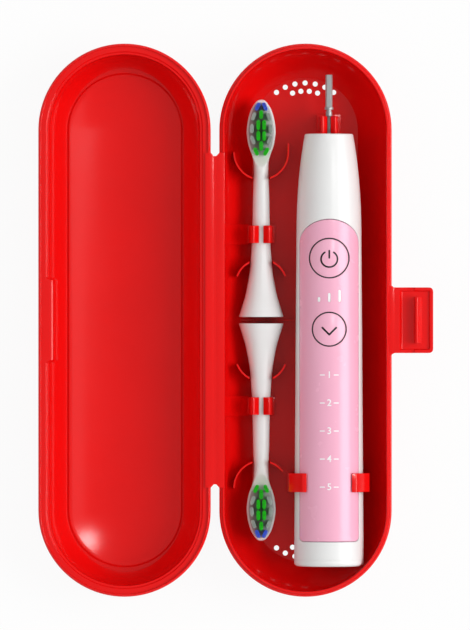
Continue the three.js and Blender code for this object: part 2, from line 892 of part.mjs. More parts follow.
function handleShell() {
  const inner_top = handle_top - handle_wall;
  const outer = handleRun(cap_top, handle_top - handle_top_corner, 0);
  const top_edge = handleRadius(handle_top - handle_top_corner) - handle_top_corner;
  const inner = handleRun(cap_top, inner_top, handle_wall).reverse();
  const profile = [
    ...outer,
    [top_edge, handle_top],
    [neck_hole_radius, handle_top],
    [neck_hole_radius, inner_top],
    ...inner,
    outer[0],
  ];
  const shell = turned(profile, handle_sides);
  const recess_depth_here = panel_thickness + fit_gap;
  const recess_low = panel_bottom - overrun;
  const recess_high = panel_top + overrun;
  const recess = handleLayer(recess_low, recess_high, -overrun, recess_depth_here)
    .intersect(uprightPrism(panelOutline(fit_gap), 0, bottom_radius + overrun, panel_curve_steps));
  const cuts = [recess, ...levelWindows(fit_gap)];
  for (const [y, radius] of [[power_button_y, power_button_radius], [mode_button_y, mode_button_radius]]) {
    const pocket_depth = recess_depth_here + button_travel;
    const pocket_layer = handleLayer(recess_low, recess_high, -overrun, pocket_depth);
    cuts.push(pocket_layer.intersect(buttonBore(y, radius)));
    const hole_radius = stem_radius + fit_gap;
    cuts.push(uprightCylinder(0, y, hole_radius, board_top, bottom_radius + overrun, stem_sides));
  }
  return wasm.Manifold.difference([shell, ...cuts]);
}

function frontPanel() {
  const layer = handleLayer(panel_bottom - overrun, panel_top + overrun, 0, panel_thickness);
  const outline = uprightPrism(panelOutline(0), 0, bottom_radius + overrun, panel_curve_steps);
  return wasm.Manifold.difference([
    layer.intersect(outline),
    buttonBore(power_button_y, power_button_radius),
    buttonBore(mode_button_y, mode_button_radius),
    ...levelWindows(fit_gap),
  ]);
}

function button(y, radius) {
  const layer = handleLayer(y - radius - overrun, y + radius + overrun, 0, panel_thickness);
  const disc = layer.intersect(uprightCylinder(0, y, radius, 0, bottom_radius + overrun, button_sides));
  const stem_low = board_top + switch_height + plunger_height + button_travel + fit_gap / 2;
  const stem_high = handleRadius(y) - panel_thickness / 2;
  return disc.add(uprightCylinder(0, y, stem_radius, stem_low, stem_high, stem_sides));
}

function levelLightGuide() {
  const low = level_bar_bottom - guide_margin;
  const high = level_bar_bottom + Math.max(...level_bar_heights) + guide_margin;
  const strip = box(-guide_half_width, guide_half_width, low, high, board_top, board_top + guide_height);
  const within = handleLayer(low - overrun, high + overrun, 0, handle_wall + overrun);
  const bars = levelWindows(0).map((bar) => {
    const root = uprightCut(bar, board_top + guide_height + overrun);
    return root.add(bar.intersect(within));
  });
  return wasm.Manifold.union([strip, ...bars]);
}

// The part of a solid below a height
function uprightCut(piece, height) {
  const reach = case_length;
  return piece.subtract(box(-reach, reach, -reach, reach, height, height + reach));
}

function bottomCap() {
  const radius = handleRadius(cap_top);
  const profile = [[0, handle_bottom]];
  for (let step = 0; step <= cap_corner_steps; step += 1) {
    const angle = (quarter_turn * step) / cap_corner_steps;
    const corner_x = radius - cap_corner * (1 - Math.sin(angle));
    profile.push([corner_x, handle_bottom + cap_corner * (1 - Math.cos(angle))]);
  }
  const groove_low = cap_top + seal_groove_start;
  const groove_high = groove_low + seal_groove_width;
  const spigot_top = cap_top + spigot_length;
  const groove_radius = spigot_radius - seal_groove_depth;
  const spigot_bore = spigot_radius - spigot_wall;
  profile.push(
    [radius, cap_top],
    [spigot_radius, cap_top],
    [spigot_radius, groove_low],
    [groove_radius, groove_low],
    [groove_radius, groove_high],
    [spigot_radius, groove_high],
    [spigot_radius, spigot_top],
    [spigot_bore, spigot_top],
    [spigot_bore, cap_top],
    [0, cap_top],
  );
  return turned(profile, handle_sides);
}

function capSeal() {
  const low = cap_top + seal_groove_start + fit_gap;
  const high = cap_top + seal_groove_start + seal_groove_width - fit_gap;
  const outer = handleRadius(high) - handle_wall - seal_shell_gap;
  return sleeve(outer, spigot_radius - seal_groove_depth + fit_gap, low, high, handle_sides);
}

function innerFrame() {
  const front = stator_rear - fit_gap;
  const handle_radius = Math.min(handleRadius(frame_rear), handleRadius(front));
  const frame_outer_radius = handle_radius - handle_wall - frame_shell_gap;
  const inner_radius = frame_outer_radius - frame_thickness;
  const outer_angle = Math.asin(board_bottom / frame_outer_radius);
  const inner_angle = Math.asin(board_bottom / inner_radius);
  const outline = new THREE.Shape();
  outline.absarc(0, 0, frame_outer_radius, half_turn - outer_angle, outer_angle, false);
  outline.absarc(0, 0, inner_radius, inner_angle, half_turn - inner_angle, true);
  return lengthwisePrism(outline, frame_rear, front, frame_steps);
}

function tactSwitch(y) {
  const top = board_top + switch_height;
  const half = switch_half_width;
  const body = box(-half, half, y - half, y + half, board_top, top);
  return body.add(uprightCylinder(0, y, plunger_radius, board_top, top + plunger_height, stem_sides));
}

function modeLed(number) {
  const y = first_led_y - led_pitch * number;
  const low = y - led_half_length;
  const high = y + led_half_length;
  return box(-led_half_width, led_half_width, low, high, board_top, board_top + led_height);
}

function battery() {
  const profile = [
    [0, battery_rear],
    [battery_radius, battery_rear],
    [battery_radius, battery_front],
    [battery_nub_radius, battery_front],
    [battery_nub_radius, battery_front + battery_nub_height],
    [0, battery_front + battery_nub_height],
  ];
  return turned(profile, handle_sides);
}

// A nickel strip on one end of the battery, up to the underside of the board
function batteryTab(contact_y, direction) {
  const near = contact_y;
  const far = contact_y + direction * tab_thickness;
  const low = Math.min(near, far);
  const high = Math.max(near, far);
  const bottom = battery_drop - battery_nub_radius;
  return box(-tab_half_width, tab_half_width, low, high, bottom, board_bottom);
}

function driveStator() {
  const profile = [
    [0, stator_rear],
    [stator_radius, stator_rear],
    [stator_radius, stator_front],
    [stator_radius - stator_wall, stator_front],
    [stator_radius - stator_wall, stator_rear + stator_plate],
    [0, stator_rear + stator_plate],
  ];
  return turned(profile, handle_sides);
}

function driveShaft() {
  const profile = [
    [0, shaft_rear],
    [shaft_neck_radius, shaft_rear],
    [shaft_neck_radius, shaft_groove_bottom],
    [shaft_groove_radius, shaft_groove_bottom],
    [shaft_groove_radius, shaft_collar_bottom],
    [shaft_collar_radius, shaft_collar_bottom],
    [shaft_collar_radius, shaft_collar_top],
    [shaft_tip_radius, shaft_collar_top],
    [shaft_tip_radius, shaft_tip - shaft_tip_bevel],
    [shaft_tip_radius - shaft_tip_bevel, shaft_tip],
    [0, shaft_tip],
  ];
  const reach = shaft_tip_radius + overrun;
  const flat = box(-reach, reach, shaft_collar_top, shaft_tip + overrun, shaft_flat_height, reach);
  return turned(profile, shaft_sides).subtract(flat);
}

// Brush heads, drawn round the Y axis with the bristles up

// The half width of the round part of a head
function headRadius(y) {
  const along = (y - head_foot_y) / head_length;
  const next = round_shares.findIndex(([place]) => place > along);
  const [low_place, low_width] = round_shares[next - 1];
  const [high_place, high_width] = round_shares[next];
  const part_share = (along - low_place) / (high_place - low_place);
  return foot_radius * (low_width + (high_width - low_width) * part_share);
}

// One ring of a head, between an ellipse and a rounded rectangle
function headRing(y, half_width, half_height, power) {
  const ring = [];
  for (let i = 0; i < head_sides; i += 1) {
    const angle = (2 * half_turn * i) / head_sides;
    const across = Math.cos(angle);
    const up = Math.sin(angle);
    const x = half_width * Math.sign(across) * Math.abs(across) ** (2 / power);
    const z = half_height * Math.sign(up) * Math.abs(up) ** (2 / power);
    ring.push([x, y, z]);
  }
  return ring;
}

function headBody() {
  const rings = [];
  for (const [along, width] of round_shares) {
    const radius = width * foot_radius;
    rings.push(headRing(head_foot_y + along * head_length, radius, radius, round_power));
  }
  for (const [along, width, height] of plate_shares) {
    const y = head_foot_y + along * head_length;
    rings.push(headRing(y, width * foot_radius, height * plate_half_height, flat_power));
  }
  return loft(rings);
}

// The flat plate that the bristles stand on, inside the head's outline
function bristlePlate() {
  const rings = plate_shares.map(([along, width]) => {
    const y = head_foot_y + along * (head_length - bristle_plate_margin);
    const half_width = Math.max(width * foot_radius - bristle_plate_margin, bristle_plate_margin);
    return headRing(y, half_width, foot_radius, flat_power);
  });
  return loft(rings).intersect(faceSlab(face_height, face_height + bristle_plate_thickness));
}

function faceSlab(z_low, z_high) {
  const start = head_foot_y + face_start_share * head_length;
  const reach = foot_radius + overrun;
  return box(-reach, reach, start, start + head_length, z_low, z_high);
}

function brushHead() {
  const bore_end = head_foot_y + coupling_length + 2 * fit_gap;
  const bore_radius = coupling_radius + fit_gap;
  const start = head_foot_y - overrun;
  return wasm.Manifold.difference([
    headBody(),
    faceSlab(face_height, foot_radius),
    lengthwiseCylinder(0, 0, bore_radius, start, bore_end, coupling_sides),
    lengthwiseCylinder(0, 0, recess_radius, start, head_foot_y + recess_depth, head_sides),
  ]);
}

function headCoupling() {
  const low = head_foot_y + fit_gap;
  const outer = lengthwiseCylinder(0, 0, coupling_radius, low, low + coupling_length, coupling_sides);
  const socket_radius = shaft_tip_radius + fit_gap;
  const socket_end = low + socket_depth;
  const socket = lengthwiseCylinder(0, 0, socket_radius, low - overrun, socket_end, coupling_sides);
  const flat_height = shaft_flat_height + fit_gap;
  const above = box(
    -socket_radius - overrun, socket_radius + overrun,
    low - 2 * overrun, socket_end + overrun,
    flat_height, socket_radius + overrun,
  );
  return outer.subtract(socket.subtract(above));
}

function strand(x, y, z_low, z_high) {
  const geometry = new THREE.CylinderGeometry(strand_radius, strand_radius, z_high - z_low, strand_sides);
  geometry.rotateX(quarter_turn);
  geometry.translate(x, y, (z_low + z_high) / 2);
  return geometry;
}

// The strands of one tuft, in two rows along a line that leans by an angle in plan
function tuft(x, y, length, lean) {
  const strands = [];
  const z_low = face_height + bristle_plate_thickness - strand_root;
  const z_high = face_height + bristle_plate_thickness + bristle_length;
  const step = (length - 2 * strand_radius) / (strands_along - 1);
  for (let row = 0; row < strands_along; row += 1) {
    for (let column = 0; column < strands_across; column += 1) {
      const along = step * (row - (strands_along - 1) / 2);
      const across = strand_pitch_across * (column - (strands_across - 1) / 2);
      const strand_x = x + across * Math.cos(lean) + along * Math.sin(lean);
      const strand_y = y + along * Math.cos(lean) - across * Math.sin(lean);
      strands.push(strand(strand_x, strand_y, z_low, z_high));
    }
  }
  return strands;
}

function bristles() {
  const rows = [...centre_tuft_shares];
  for (const [across, along, length, lean] of paired_tuft_shares) {
    rows.push([-across, along, length, lean], [across, along, length, -lean]);
  }
  const strands = rows.flatMap(([across, along, length, lean]) => {
    const x = across * tuft_half_width;
    const y = head_tip_y - along * tuft_field_length;
    return tuft(x, y, length * tuft_field_length, THREE.MathUtils.degToRad(lean));
  });
  return bristlePlate().add(solid(mergeGeometries(strands)));
}

// Assembly

function placed(group, x, z) {
  group.position.set(x, 0, z);
  return group;
}

function caseGroup() {
  const group = new THREE.Group();
  group.add(
    part('base_shell', baseShell(), 'red_plastic'),
    part('lid_shell', lidShell(), 'red_plastic'),
    part('lid_hinge_film', hingeFilm(hinge_x, hinge_half_length - hinge_notch), 'red_plastic'),
    part('latch_hinge_film', hingeFilm(latch_x, flap_half_length), 'red_plastic'),
    part('latch_flap', latchFlap(), 'red_plastic'),
    part('handle_clip_left', handleArm(-1), 'red_plastic'),
    part('handle_clip_right', handleArm(1), 'red_plastic'),
  );
  const head_clips = placed(new THREE.Group(), head_x, 0);
  head_clips.add(
    part('upper_head_clip', ringClip(head_clip, head_z, head_clip_y), 'red_plastic'),
    part('lower_head_clip', ringClip(head_clip, head_z, -head_clip_y), 'red_plastic'),
  );
  const shaft_clips = placed(new THREE.Group(), handle_x, 0);
  shaft_clips.add(part('shaft_clip', ringClip(shaft_clip, handle_z, shaft_clip_y), 'red_plastic'));
  group.add(head_clips, shaft_clips);
  return group;
}

function electronics() {
  const board_front = stator_rear - board_end_gap;
  const room_radius = Math.min(handleRadius(board_rear), handleRadius(board_front)) - handle_wall;
  const board_half_width = Math.sqrt(room_radius ** 2 - board_top ** 2) - board_side_gap;
  const board = box(-board_half_width, board_half_width, board_rear, board_front, board_bottom, board_top);
  const pieces = [
    part('circuit_board', board, 'green_board'),
    part('power_switch', tactSwitch(power_button_y), 'grey_plastic'),
    part('mode_switch', tactSwitch(mode_button_y), 'grey_plastic'),
    part('level_light_guide', levelLightGuide(), 'clear_guide'),
  ];
  for (let number = 0; number < led_count; number += 1) {
    pieces.push(part(`mode_led_${number + 1}`, modeLed(number), 'clear_guide'));
  }
  return pieces;
}

function powerPieces() {
  const core_top = cap_top + core_length;
  const coil_low = cap_top + fit_gap;
  const nub_end = battery_front + battery_nub_height;
  const cell = part('battery', battery(), 'battery_wrap');
  cell.position.z = battery_drop;
  return [
    cell,
    part('battery_tab_front', batteryTab(nub_end, 1), 'nickel'),
    part('battery_tab_rear', batteryTab(battery_rear, -1), 'nickel'),
    part('coil_core', lengthwiseCylinder(0, 0, core_radius, cap_top, core_top, clip_sides), 'ferrite'),
    part(
      'charging_coil',
      sleeve(coil_radius, core_radius + fit_gap, coil_low, coil_low + coil_length, clip_sides),
      'copper',
    ),
  ];
}

function drivePieces() {
  const damper_bore = stator_radius + fit_gap;
  const damper_outer = damper_bore + damper_thickness;
  const damper = sleeve(damper_outer, damper_bore, stator_rear, stator_front, clip_sides);
  const bearing_top = handle_top - handle_wall - fit_gap;
  const seal_top = handle_top - fit_gap;
  const bore = shaft_neck_radius + fit_gap;
  const bearing_low = bearing_top - bearing_length;
  const seal_low = seal_top - seal_thickness;
  const seal_radius = neck_hole_radius - fit_gap;
  return [
    part('drive_stator', driveStator(), 'grey_plastic'),
    part('drive_damper', damper, 'black_rubber'),
    part('shaft_bearing', sleeve(bearing_radius, bore, bearing_low, bearing_top, clip_sides), 'grey_plastic'),
    part('shaft_seal', sleeve(seal_radius, bore, seal_low, seal_top, clip_sides), 'black_rubber'),
    part('drive_shaft', driveShaft(), 'steel'),
    part('drive_armature', sleeve(armature_radius, bore, armature_rear, armature_front, clip_sides), 'steel'),
  ];
}

function handleGroup() {
  const group = placed(new THREE.Group(), handle_x, handle_z);
  group.add(
    part('handle_shell', handleShell(), 'white_plastic'),
    part('front_panel', frontPanel(), 'pink_grip'),
    part('power_button', button(power_button_y, power_button_radius), 'pink_grip'),
    part('mode_button', button(mode_button_y, mode_button_radius), 'pink_grip'),
    part('bottom_cap', bottomCap(), 'white_plastic'),
    part('cap_seal', capSeal(), 'black_rubber'),
    part('inner_frame', innerFrame(), 'grey_plastic'),
    ...electronics(),
    ...powerPieces(),
    ...drivePieces(),
  );
  return group;
}

function headGroup(name, turn) {
  const group = placed(new THREE.Group(), head_x, head_z);
  group.rotation.z = turn;
  group.add(
    part(`${name}_head`, brushHead(), 'white_plastic'),
    part(`${name}_bristles`, bristles(), 'bristle'),
    part(`${name}_coupling`, headCoupling(), 'grey_plastic'),
  );
  return group;
}

const travel_case = new THREE.Group();
travel_case.add(caseGroup(), handleGroup(), headGroup('upper', 0), headGroup('lower', half_turn));

export default travel_case;
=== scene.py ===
import json
import math
import random

import bmesh
import bpy
from mathutils import Matrix, Vector


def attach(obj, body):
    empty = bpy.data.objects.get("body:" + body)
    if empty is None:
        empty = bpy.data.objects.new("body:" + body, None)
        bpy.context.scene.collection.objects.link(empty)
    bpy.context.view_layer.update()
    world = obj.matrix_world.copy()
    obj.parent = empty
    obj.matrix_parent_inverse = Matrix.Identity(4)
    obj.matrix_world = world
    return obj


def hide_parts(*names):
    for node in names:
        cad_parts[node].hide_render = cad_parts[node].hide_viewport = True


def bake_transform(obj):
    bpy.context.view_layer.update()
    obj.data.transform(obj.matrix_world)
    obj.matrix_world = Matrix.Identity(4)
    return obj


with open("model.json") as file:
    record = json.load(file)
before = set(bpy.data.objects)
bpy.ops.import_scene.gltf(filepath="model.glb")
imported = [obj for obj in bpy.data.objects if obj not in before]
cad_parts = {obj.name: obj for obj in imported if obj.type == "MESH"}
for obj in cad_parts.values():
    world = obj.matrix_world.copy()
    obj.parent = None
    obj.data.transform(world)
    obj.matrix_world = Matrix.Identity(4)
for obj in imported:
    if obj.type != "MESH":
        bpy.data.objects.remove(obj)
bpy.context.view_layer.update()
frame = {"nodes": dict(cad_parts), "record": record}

MM = 0.001
QUARTER = math.pi / 2
WELD = 1e-7
CUT_WELD = 1e-8
SHARP_DEGREES = 30
CUT_OVERRUN = 1.0
# Steps round a prism's rounded end and round an outline's corner
END_STEPS = 3
ROUND_STEPS = 4
# Least share by which a sharp corner counts, how near to straight a corner is left as it is, and the share of
# a side that a rounding can take
LEAST_TURN_SHARE = 0.35
STRAIGHT_MARGIN = 0.02
ROUND_SIDE_SHARE = 0.48

# Case, in millimetres
CASE_LENGTH = 215.0
CASE_WIDTH = 67.0
END_RADIUS = CASE_WIDTH / 2
STRAIGHT_HALF = (CASE_LENGTH - CASE_WIDTH) / 2
RIM_Z = 22.0
WALL = 1.6
ARC_STEPS = 48
EDGE_STEPS = 12
SHELL_SHARP = 12
# Insets and depths below the rim of its chamfered outer edge
RIM_EDGE_ROWS = [(0, 0.64), (0.04, 0.56), (0.56, 0.04), (0.64, 0)]
BASE_EDGE_INSET = 12.9
BASE_EDGE_RISE = 12.2
BASE_CREASE = math.radians(30)
TONGUE_INSET = 1.15
TONGUE_WIDTH = 0.9
TONGUE_HEIGHT = 0.8
# Across from the tongue's outer or inner face, and share of its height
TONGUE_OUTER_ROWS = [(-0.06, 0), (0, 0.2), (0.04, 0.8), (0.2, 1)]
TONGUE_INNER_ROWS = [(-0.2, 1), (-0.04, 0.8)]
BASE_CAVITY_INSET = TONGUE_INSET + TONGUE_WIDTH
CAVITY_LIP = 0.12
LID_PANEL_INSET = 10.95
LID_FOOT_GAP = 0.2
LID_END_FLAT = 1.65
LID_FLAT_FADE = 4
LID_EDGE_RISE = 11.7
LID_BEAD_HEIGHT = 0.4
LID_CREASE = math.radians(40)
LID_DISH_DEPTH = 2.7
# Insets and depths below the rim: the lip, the seat for the tongue and the step to the wall
LID_SEAT_ROWS = [
    (0.94, 0), (1.02, 0.06), (1.08, 0.85), (1.14, 0.9), (2.97, 0.9), (3.05, 0.94), (3.36, 1.36), (3.44, 1.4),
    (4.02, 1.4), (4.15, 1.52)]
LID_POCKET_ROWS = LID_SEAT_ROWS[:4] + [
    (4.8, 0.9), (4.9, 0.92), (5.15, 0.99), (5.3, 1.06), (5.6, 1.26), (5.75, 1.5)]
LID_WALL_STEP = 0.1
# Across and up over the bead round the lid's panel
LID_BEAD_ROWS = [(0, 0.03), (0.35, 0.5), (0.6, 0.88), (0.75, 1), (0.95, 0.97), (1.3, 0.84), (1.6, 0.7)]
LID_PLATEAU_START = 1.75
LID_PLATEAU_SHARE = 0.65
LID_DISH_SHARES = [1, 0.96, 0.92, 0.87, 0.8, 0.72, 0.63, 0.53, 0.42, 0.3, 0.18, 0.07]
POCKET_HALF = 16.6
POCKET_CHAMFER = 1.2
SLOT_HALF = 9.3
SLOT_DEPTH = 2.1
SLOT_DROP = 7.0
SLOT_HEIGHT = 3.0
SLOT_ROUND = 0.4

# Hinge lines
HINGE_X = -35.17
LID_X = 2 * HINGE_X
HINGE_HALF = 65.1
HINGE_FADE = 0.2
HINGE_NOTCH = 1.3
FLANGE_THICK = 1.4
FLANGE_LIFT = 0.03
LID_FLANGE_REACH = 2.1
FILM_THICK = 0.5
FILM_HALF = 0.5
FILM_OVERLAP = 0.02
FILM_EDGE_DROP = 0.3
FILM_SUNK = 0.01
# Shares of its half width at which the film is thick, still thick, and thin
FILM_SHARES = (1, 0.6, 0.3)
LATCH_X = 35.0
WEB_THICK = 1.2
WEB_HALF = 13.4
WEB_REACH = 1.0
FLAP_HALF = 12.76
SIDE_MARK = 40

# Vents
VENT_RADIUS = 1.0
VENT_ROWS = [(18.73, 7), (15.55, 4)]
VENT_PITCH = math.radians(12.2)
VENT_SIDES = 24
# How much wider a vent is than its radius, and the height over the floor's top
VENT_PROFILE = [(0, -WALL - CUT_OVERRUN), (0, -0.12), (0.03, -0.04), (0.12, 0.01), (0.12, CUT_OVERRUN)]


# Mesh making

def tidy_mesh(mesh, sharp_degrees, weld=WELD):
    """Joins doubled points, turns the faces outward, and shades smooth but for sharp edges."""
    work = bmesh.new()
    work.from_mesh(mesh)
    bmesh.ops.remove_doubles(work, verts=work.verts, dist=weld)
    bmesh.ops.recalc_face_normals(work, faces=work.faces)
    work.to_mesh(mesh)
    work.free()
    mesh.polygons.foreach_set("use_smooth", [True] * len(mesh.polygons))
    mesh.set_sharp_from_angle(angle=math.radians(sharp_degrees))
    mesh.update()


def linked(thing):
    bpy.context.scene.collection.objects.link(thing)
    return thing


def merged(name, parts, sharp_degrees=SHARP_DEGREES):
    """One object from several lists of points, in millimetres, and faces."""
    points = []
    faces = []
    for part_points, part_faces in parts:
        start = len(points)
        points.extend(Vector(point) * MM for point in part_points)
        faces.extend(tuple(start + i for i in face) for face in part_faces)
    mesh = bpy.data.meshes.new(name)
    mesh.from_pydata(points, [], faces)
    tidy_mesh(mesh, sharp_degrees)
    return linked(bpy.data.objects.new(name, mesh))


def loft_data(rings, closed=False):
    """Points and faces of a skin through rings that hold as many points each."""
    count = len(rings[0])
    points = [p for ring in rings for p in ring]
    faces = []
    for row in range(len(rings) if closed else len(rings) - 1):
        low = row * count
        high = ((row + 1) % len(rings)) * count
        for i in range(count):
            j = (i + 1) % count
            faces.append((low + i, low + j, high + j, high + i))
    if not closed:
        last = (len(rings) - 1) * count
        faces.append(tuple(reversed(range(count))))
        faces.append(tuple(range(last, last + count)))
    return points, faces


def cut(thing, parts, sharp_degrees=SHARP_DEGREES):
    """Cuts a thing with a tool made of the given parts."""
    tool = merged("tool", parts, sharp_degrees)
    modifier = thing.modifiers.new("cut", "BOOLEAN")
    modifier.operation = "DIFFERENCE"
    modifier.solver = "EXACT"
    modifier.object = tool
    bpy.context.view_layer.update()
    mesh = bpy.data.meshes.new_from_object(thing.evaluated_get(bpy.context.evaluated_depsgraph_get()))
    thing.modifiers.clear()
    old = thing.data
    thing.data = mesh
    bpy.data.meshes.remove(old)
    bpy.data.objects.remove(tool)
    tidy_mesh(thing.data, sharp_degrees, CUT_WELD)
    return thing


def even(low, high, steps):
    """Evenly spaced values from low to high, with both of them."""
    return [low + (high - low) * i / steps for i in range(steps + 1)]


def arc(x, y, radius, start, end, steps):
    """Points along an arc, with both its ends."""
    return [(x + radius * math.cos(angle), y + radius * math.sin(angle)) for angle in even(start, end, steps)]


def circle(x, y, radius, sides, start=0.0):
    """Points round a circle, anticlockwise."""
    return arc(x, y, radius, start, start + 2 * math.pi, sides)[:-1]


def mirrored(points):
    """The same points on the other side of x = 0, in the opposite order."""
    return [(-x, y) for x, y in points[::-1]]


def lathe_data(profile, sides, x, z):
    """A profile of radius and y, turned about an axis along Y."""
    rings = [[(a, y, b) for a, b in circle(x, z, radius, sides)] for radius, y in profile]
    return loft_data(rings, closed=profile[0][0] > 0)


def inset_outline(outline, distance):
    """An anticlockwise outline with each corner pulled in by a distance."""
    if distance == 0:
        return list(outline)
    found = []
    for i, corner in enumerate(outline):
        before = Vector(outline[i - 1])
        here = Vector(corner)
        after = Vector(outline[(i + 1) % len(outline)])
        into = (here - before).normalized()
        out = (after - here).normalized()
        normal = Vector((-into.y - out.y, into.x + out.x))
        scale = max(normal.length_squared / 2, LEAST_TURN_SHARE)
        found.append(tuple(here + normal * (distance / scale)))
    return found


def prism_rings(outline, low, high, round_by):
    """Rings along a prism with rounded ends, each an outline pulled in and a place."""
    rings = []
    for angle in even(0, QUARTER, END_STEPS):
        pull = round_by * (1 - math.sin(angle))
        rings.append((inset_outline(outline, pull), low + round_by * (1 - math.cos(angle))))
    ends = [(ring, high - (place - low)) for ring, place in rings]
    return rings + ends[::-1]


def rounded_outline(corners, radius=0.0, steps=ROUND_STEPS):
    """An outline whose corners are rounded. Each corner is (a, b) or (a, b, radius)."""
    found = []
    for i, corner in enumerate(corners):
        here = Vector(corner[:2])
        before = Vector(corners[i - 1][:2]) - here
        after = Vector(corners[(i + 1) % len(corners)][:2]) - here
        size = corner[2] if len(corner) > 2 else radius
        angle = before.angle(after)
        if size <= 0 or angle > math.pi - STRAIGHT_MARGIN:
            found.append(tuple(here))
            continue
        reach = min(size / math.tan(angle / 2), ROUND_SIDE_SHARE * min(before.length, after.length))
        start = here + before.normalized() * reach
        end = here + after.normalized() * reach
        for t in even(0, 1, steps):
            found.append(tuple((1 - t) ** 2 * start + 2 * t * (1 - t) * here + t * t * end))
    return found


def lengthwise_prism(outline, low, high, round_by=0.0):
    """An outline in X and Z, extruded along Y with rounded ends."""
    rings = prism_rings(outline, low, high, round_by)
    return loft_data([[(a, place, b) for a, b in ring] for ring, place in rings])


def upright_prism(outline, low, high, round_by):
    """An outline in X and Y, extruded up with rounded ends."""
    rings = prism_rings(outline, low, high, round_by)
    return loft_data([[(a, b, place) for a, b in ring] for ring, place in rings])


def box_outline(a_low, a_high, b_low, b_high):
    return [(a_low, b_low), (a_high, b_low), (a_high, b_high), (a_low, b_high)]


# Case shells

def rim_stations():
    """Places round the rim: the outward direction, and y of the line along the case that it starts from."""
    marks = [HINGE_HALF + HINGE_FADE, HINGE_HALF, SIDE_MARK, POCKET_HALF, POCKET_HALF - POCKET_CHAMFER, 0]
    heights = sorted({side * mark for mark in marks for side in (1, -1)})
    stations = []
    for side in (1, -1):
        for y in heights if side > 0 else heights[::-1]:
            stations.append(((side, 0.0), y))
        # A radius of -1 turns the arc to the lower end
        stations += [(normal, side * STRAIGHT_HALF) for normal in arc(0, 0, side, 0, math.pi, ARC_STEPS)]
    return stations


def make_shell(name, middle_x, rows_at):
    """A shell from its section's insets and heights, which rows_at gives for each place round the rim."""
    stations = rim_stations()
    rings = []
    for section in zip(*[rows_at(normal, y) for normal, y in stations]):
        ring = []
        for (normal, y), (inset, z) in zip(stations, section):
            radius = END_RADIUS - inset
            ring.append((middle_x + normal[0] * radius, y + normal[1] * radius, z))
        rings.append(ring)
    return merged(name, [loft_data(rings)], SHELL_SHARP)


def edge_rows(flat_inset, rise):
    """Insets and heights of an outer wall that curves from flat to upright."""
    return [(flat_inset * (1 - math.sin(angle)), rise * (1 - math.cos(angle)))
            for angle in even(0, QUARTER, EDGE_STEPS)]


def inner_wall_rows(foot_inset, wall_inset, floor_z, crease):
    """A hollow wall's rows from its upright top to its foot, which meets the floor at a crease."""
    turn = QUARTER - crease
    radius = (foot_inset - wall_inset) / (1 - math.cos(turn))
    top_z = floor_z + radius * math.sin(turn)
    return [(wall_inset + radius * (1 - math.cos(angle)), top_z - radius * math.sin(angle))
            for angle in even(0, turn, EDGE_STEPS)]


def below_rim(rows):
    """Insets and heights from insets and depths below the rim."""
    return [(inset, RIM_Z - depth) for inset, depth in rows]


def base_rows(normal, y):
    """The base shell's section, from the flat underside over the rim to the floor.

    The rim's tongue is left out at the hinge.
    """
    at_hinge = normal == (-1, 0.0) and abs(y) <= HINGE_HALF
    height = 0 if at_hinge else TONGUE_HEIGHT
    rows = edge_rows(BASE_EDGE_INSET, BASE_EDGE_RISE) + below_rim(RIM_EDGE_ROWS)
    rows += [(TONGUE_INSET + across, RIM_Z + share * height) for across, share in TONGUE_OUTER_ROWS]
    rows += [(BASE_CAVITY_INSET + across, RIM_Z + share * height) for across, share in TONGUE_INNER_ROWS]
    rows.append((BASE_CAVITY_INSET, RIM_Z - CAVITY_LIP))
    return rows + inner_wall_rows(BASE_EDGE_INSET, BASE_CAVITY_INSET, WALL, BASE_CREASE)


def lid_rows(normal, y):
    """The lid's section, from the flat outside over the rim to the dished panel.

    At the lid's tips a flat strip lies between the wall and the bead, and it fades out towards the sides.
    """
    in_pocket = normal == (-1, 0.0) and abs(y) <= POCKET_HALF - POCKET_CHAMFER
    seat = LID_POCKET_ROWS if in_pocket else LID_SEAT_ROWS
    rows = edge_rows(LID_PANEL_INSET, LID_EDGE_RISE) + below_rim(RIM_EDGE_ROWS + seat)
    foot_z = WALL + LID_DISH_DEPTH
    foot = LID_PANEL_INSET - LID_FOOT_GAP - LID_END_FLAT * normal[1] ** LID_FLAT_FADE
    rows += inner_wall_rows(foot, seat[-1][0] + LID_WALL_STEP, foot_z, LID_CREASE)
    rows += [(LID_PANEL_INSET + across, foot_z + LID_BEAD_HEIGHT * up) for across, up in LID_BEAD_ROWS]
    edge_radius = END_RADIUS - LID_PANEL_INSET - LID_PLATEAU_START
    plateau_z = WALL + LID_BEAD_HEIGHT * LID_PLATEAU_SHARE
    for share in LID_DISH_SHARES:
        rows.append((END_RADIUS - edge_radius * share, plateau_z + LID_DISH_DEPTH * share ** 2))
    return rows


def make_base_shell():
    """The base shell with its vents, each a little wider at its upper edge."""
    vents = []
    for end in (1, -1):
        for row_radius, count in VENT_ROWS:
            for i in range(count):
                angle = VENT_PITCH * (i - (count - 1) / 2)
                x = row_radius * math.sin(angle)
                y = end * (STRAIGHT_HALF + row_radius * math.cos(angle))
                vents.append(loft_data([
                    [(a, b, WALL + rise) for a, b in circle(x, y, VENT_RADIUS + grow, VENT_SIDES)]
                    for grow, rise in VENT_PROFILE]))
    return cut(make_shell("base_shell_body", 0, base_rows), vents, SHELL_SHARP)


def make_lid_shell():
    """The lid's shell with the slot for the latch's catch."""
    left = LID_X - END_RADIUS
    top = RIM_Z - SLOT_DROP
    box = box_outline(left - CUT_OVERRUN, left + SLOT_DEPTH, top - SLOT_HEIGHT, top)
    slot = lengthwise_prism(rounded_outline(box, SLOT_ROUND), -SLOT_HALF, SLOT_HALF)
    return cut(make_shell("lid_shell_body", LID_X, lid_rows), [slot], SHELL_SHARP)


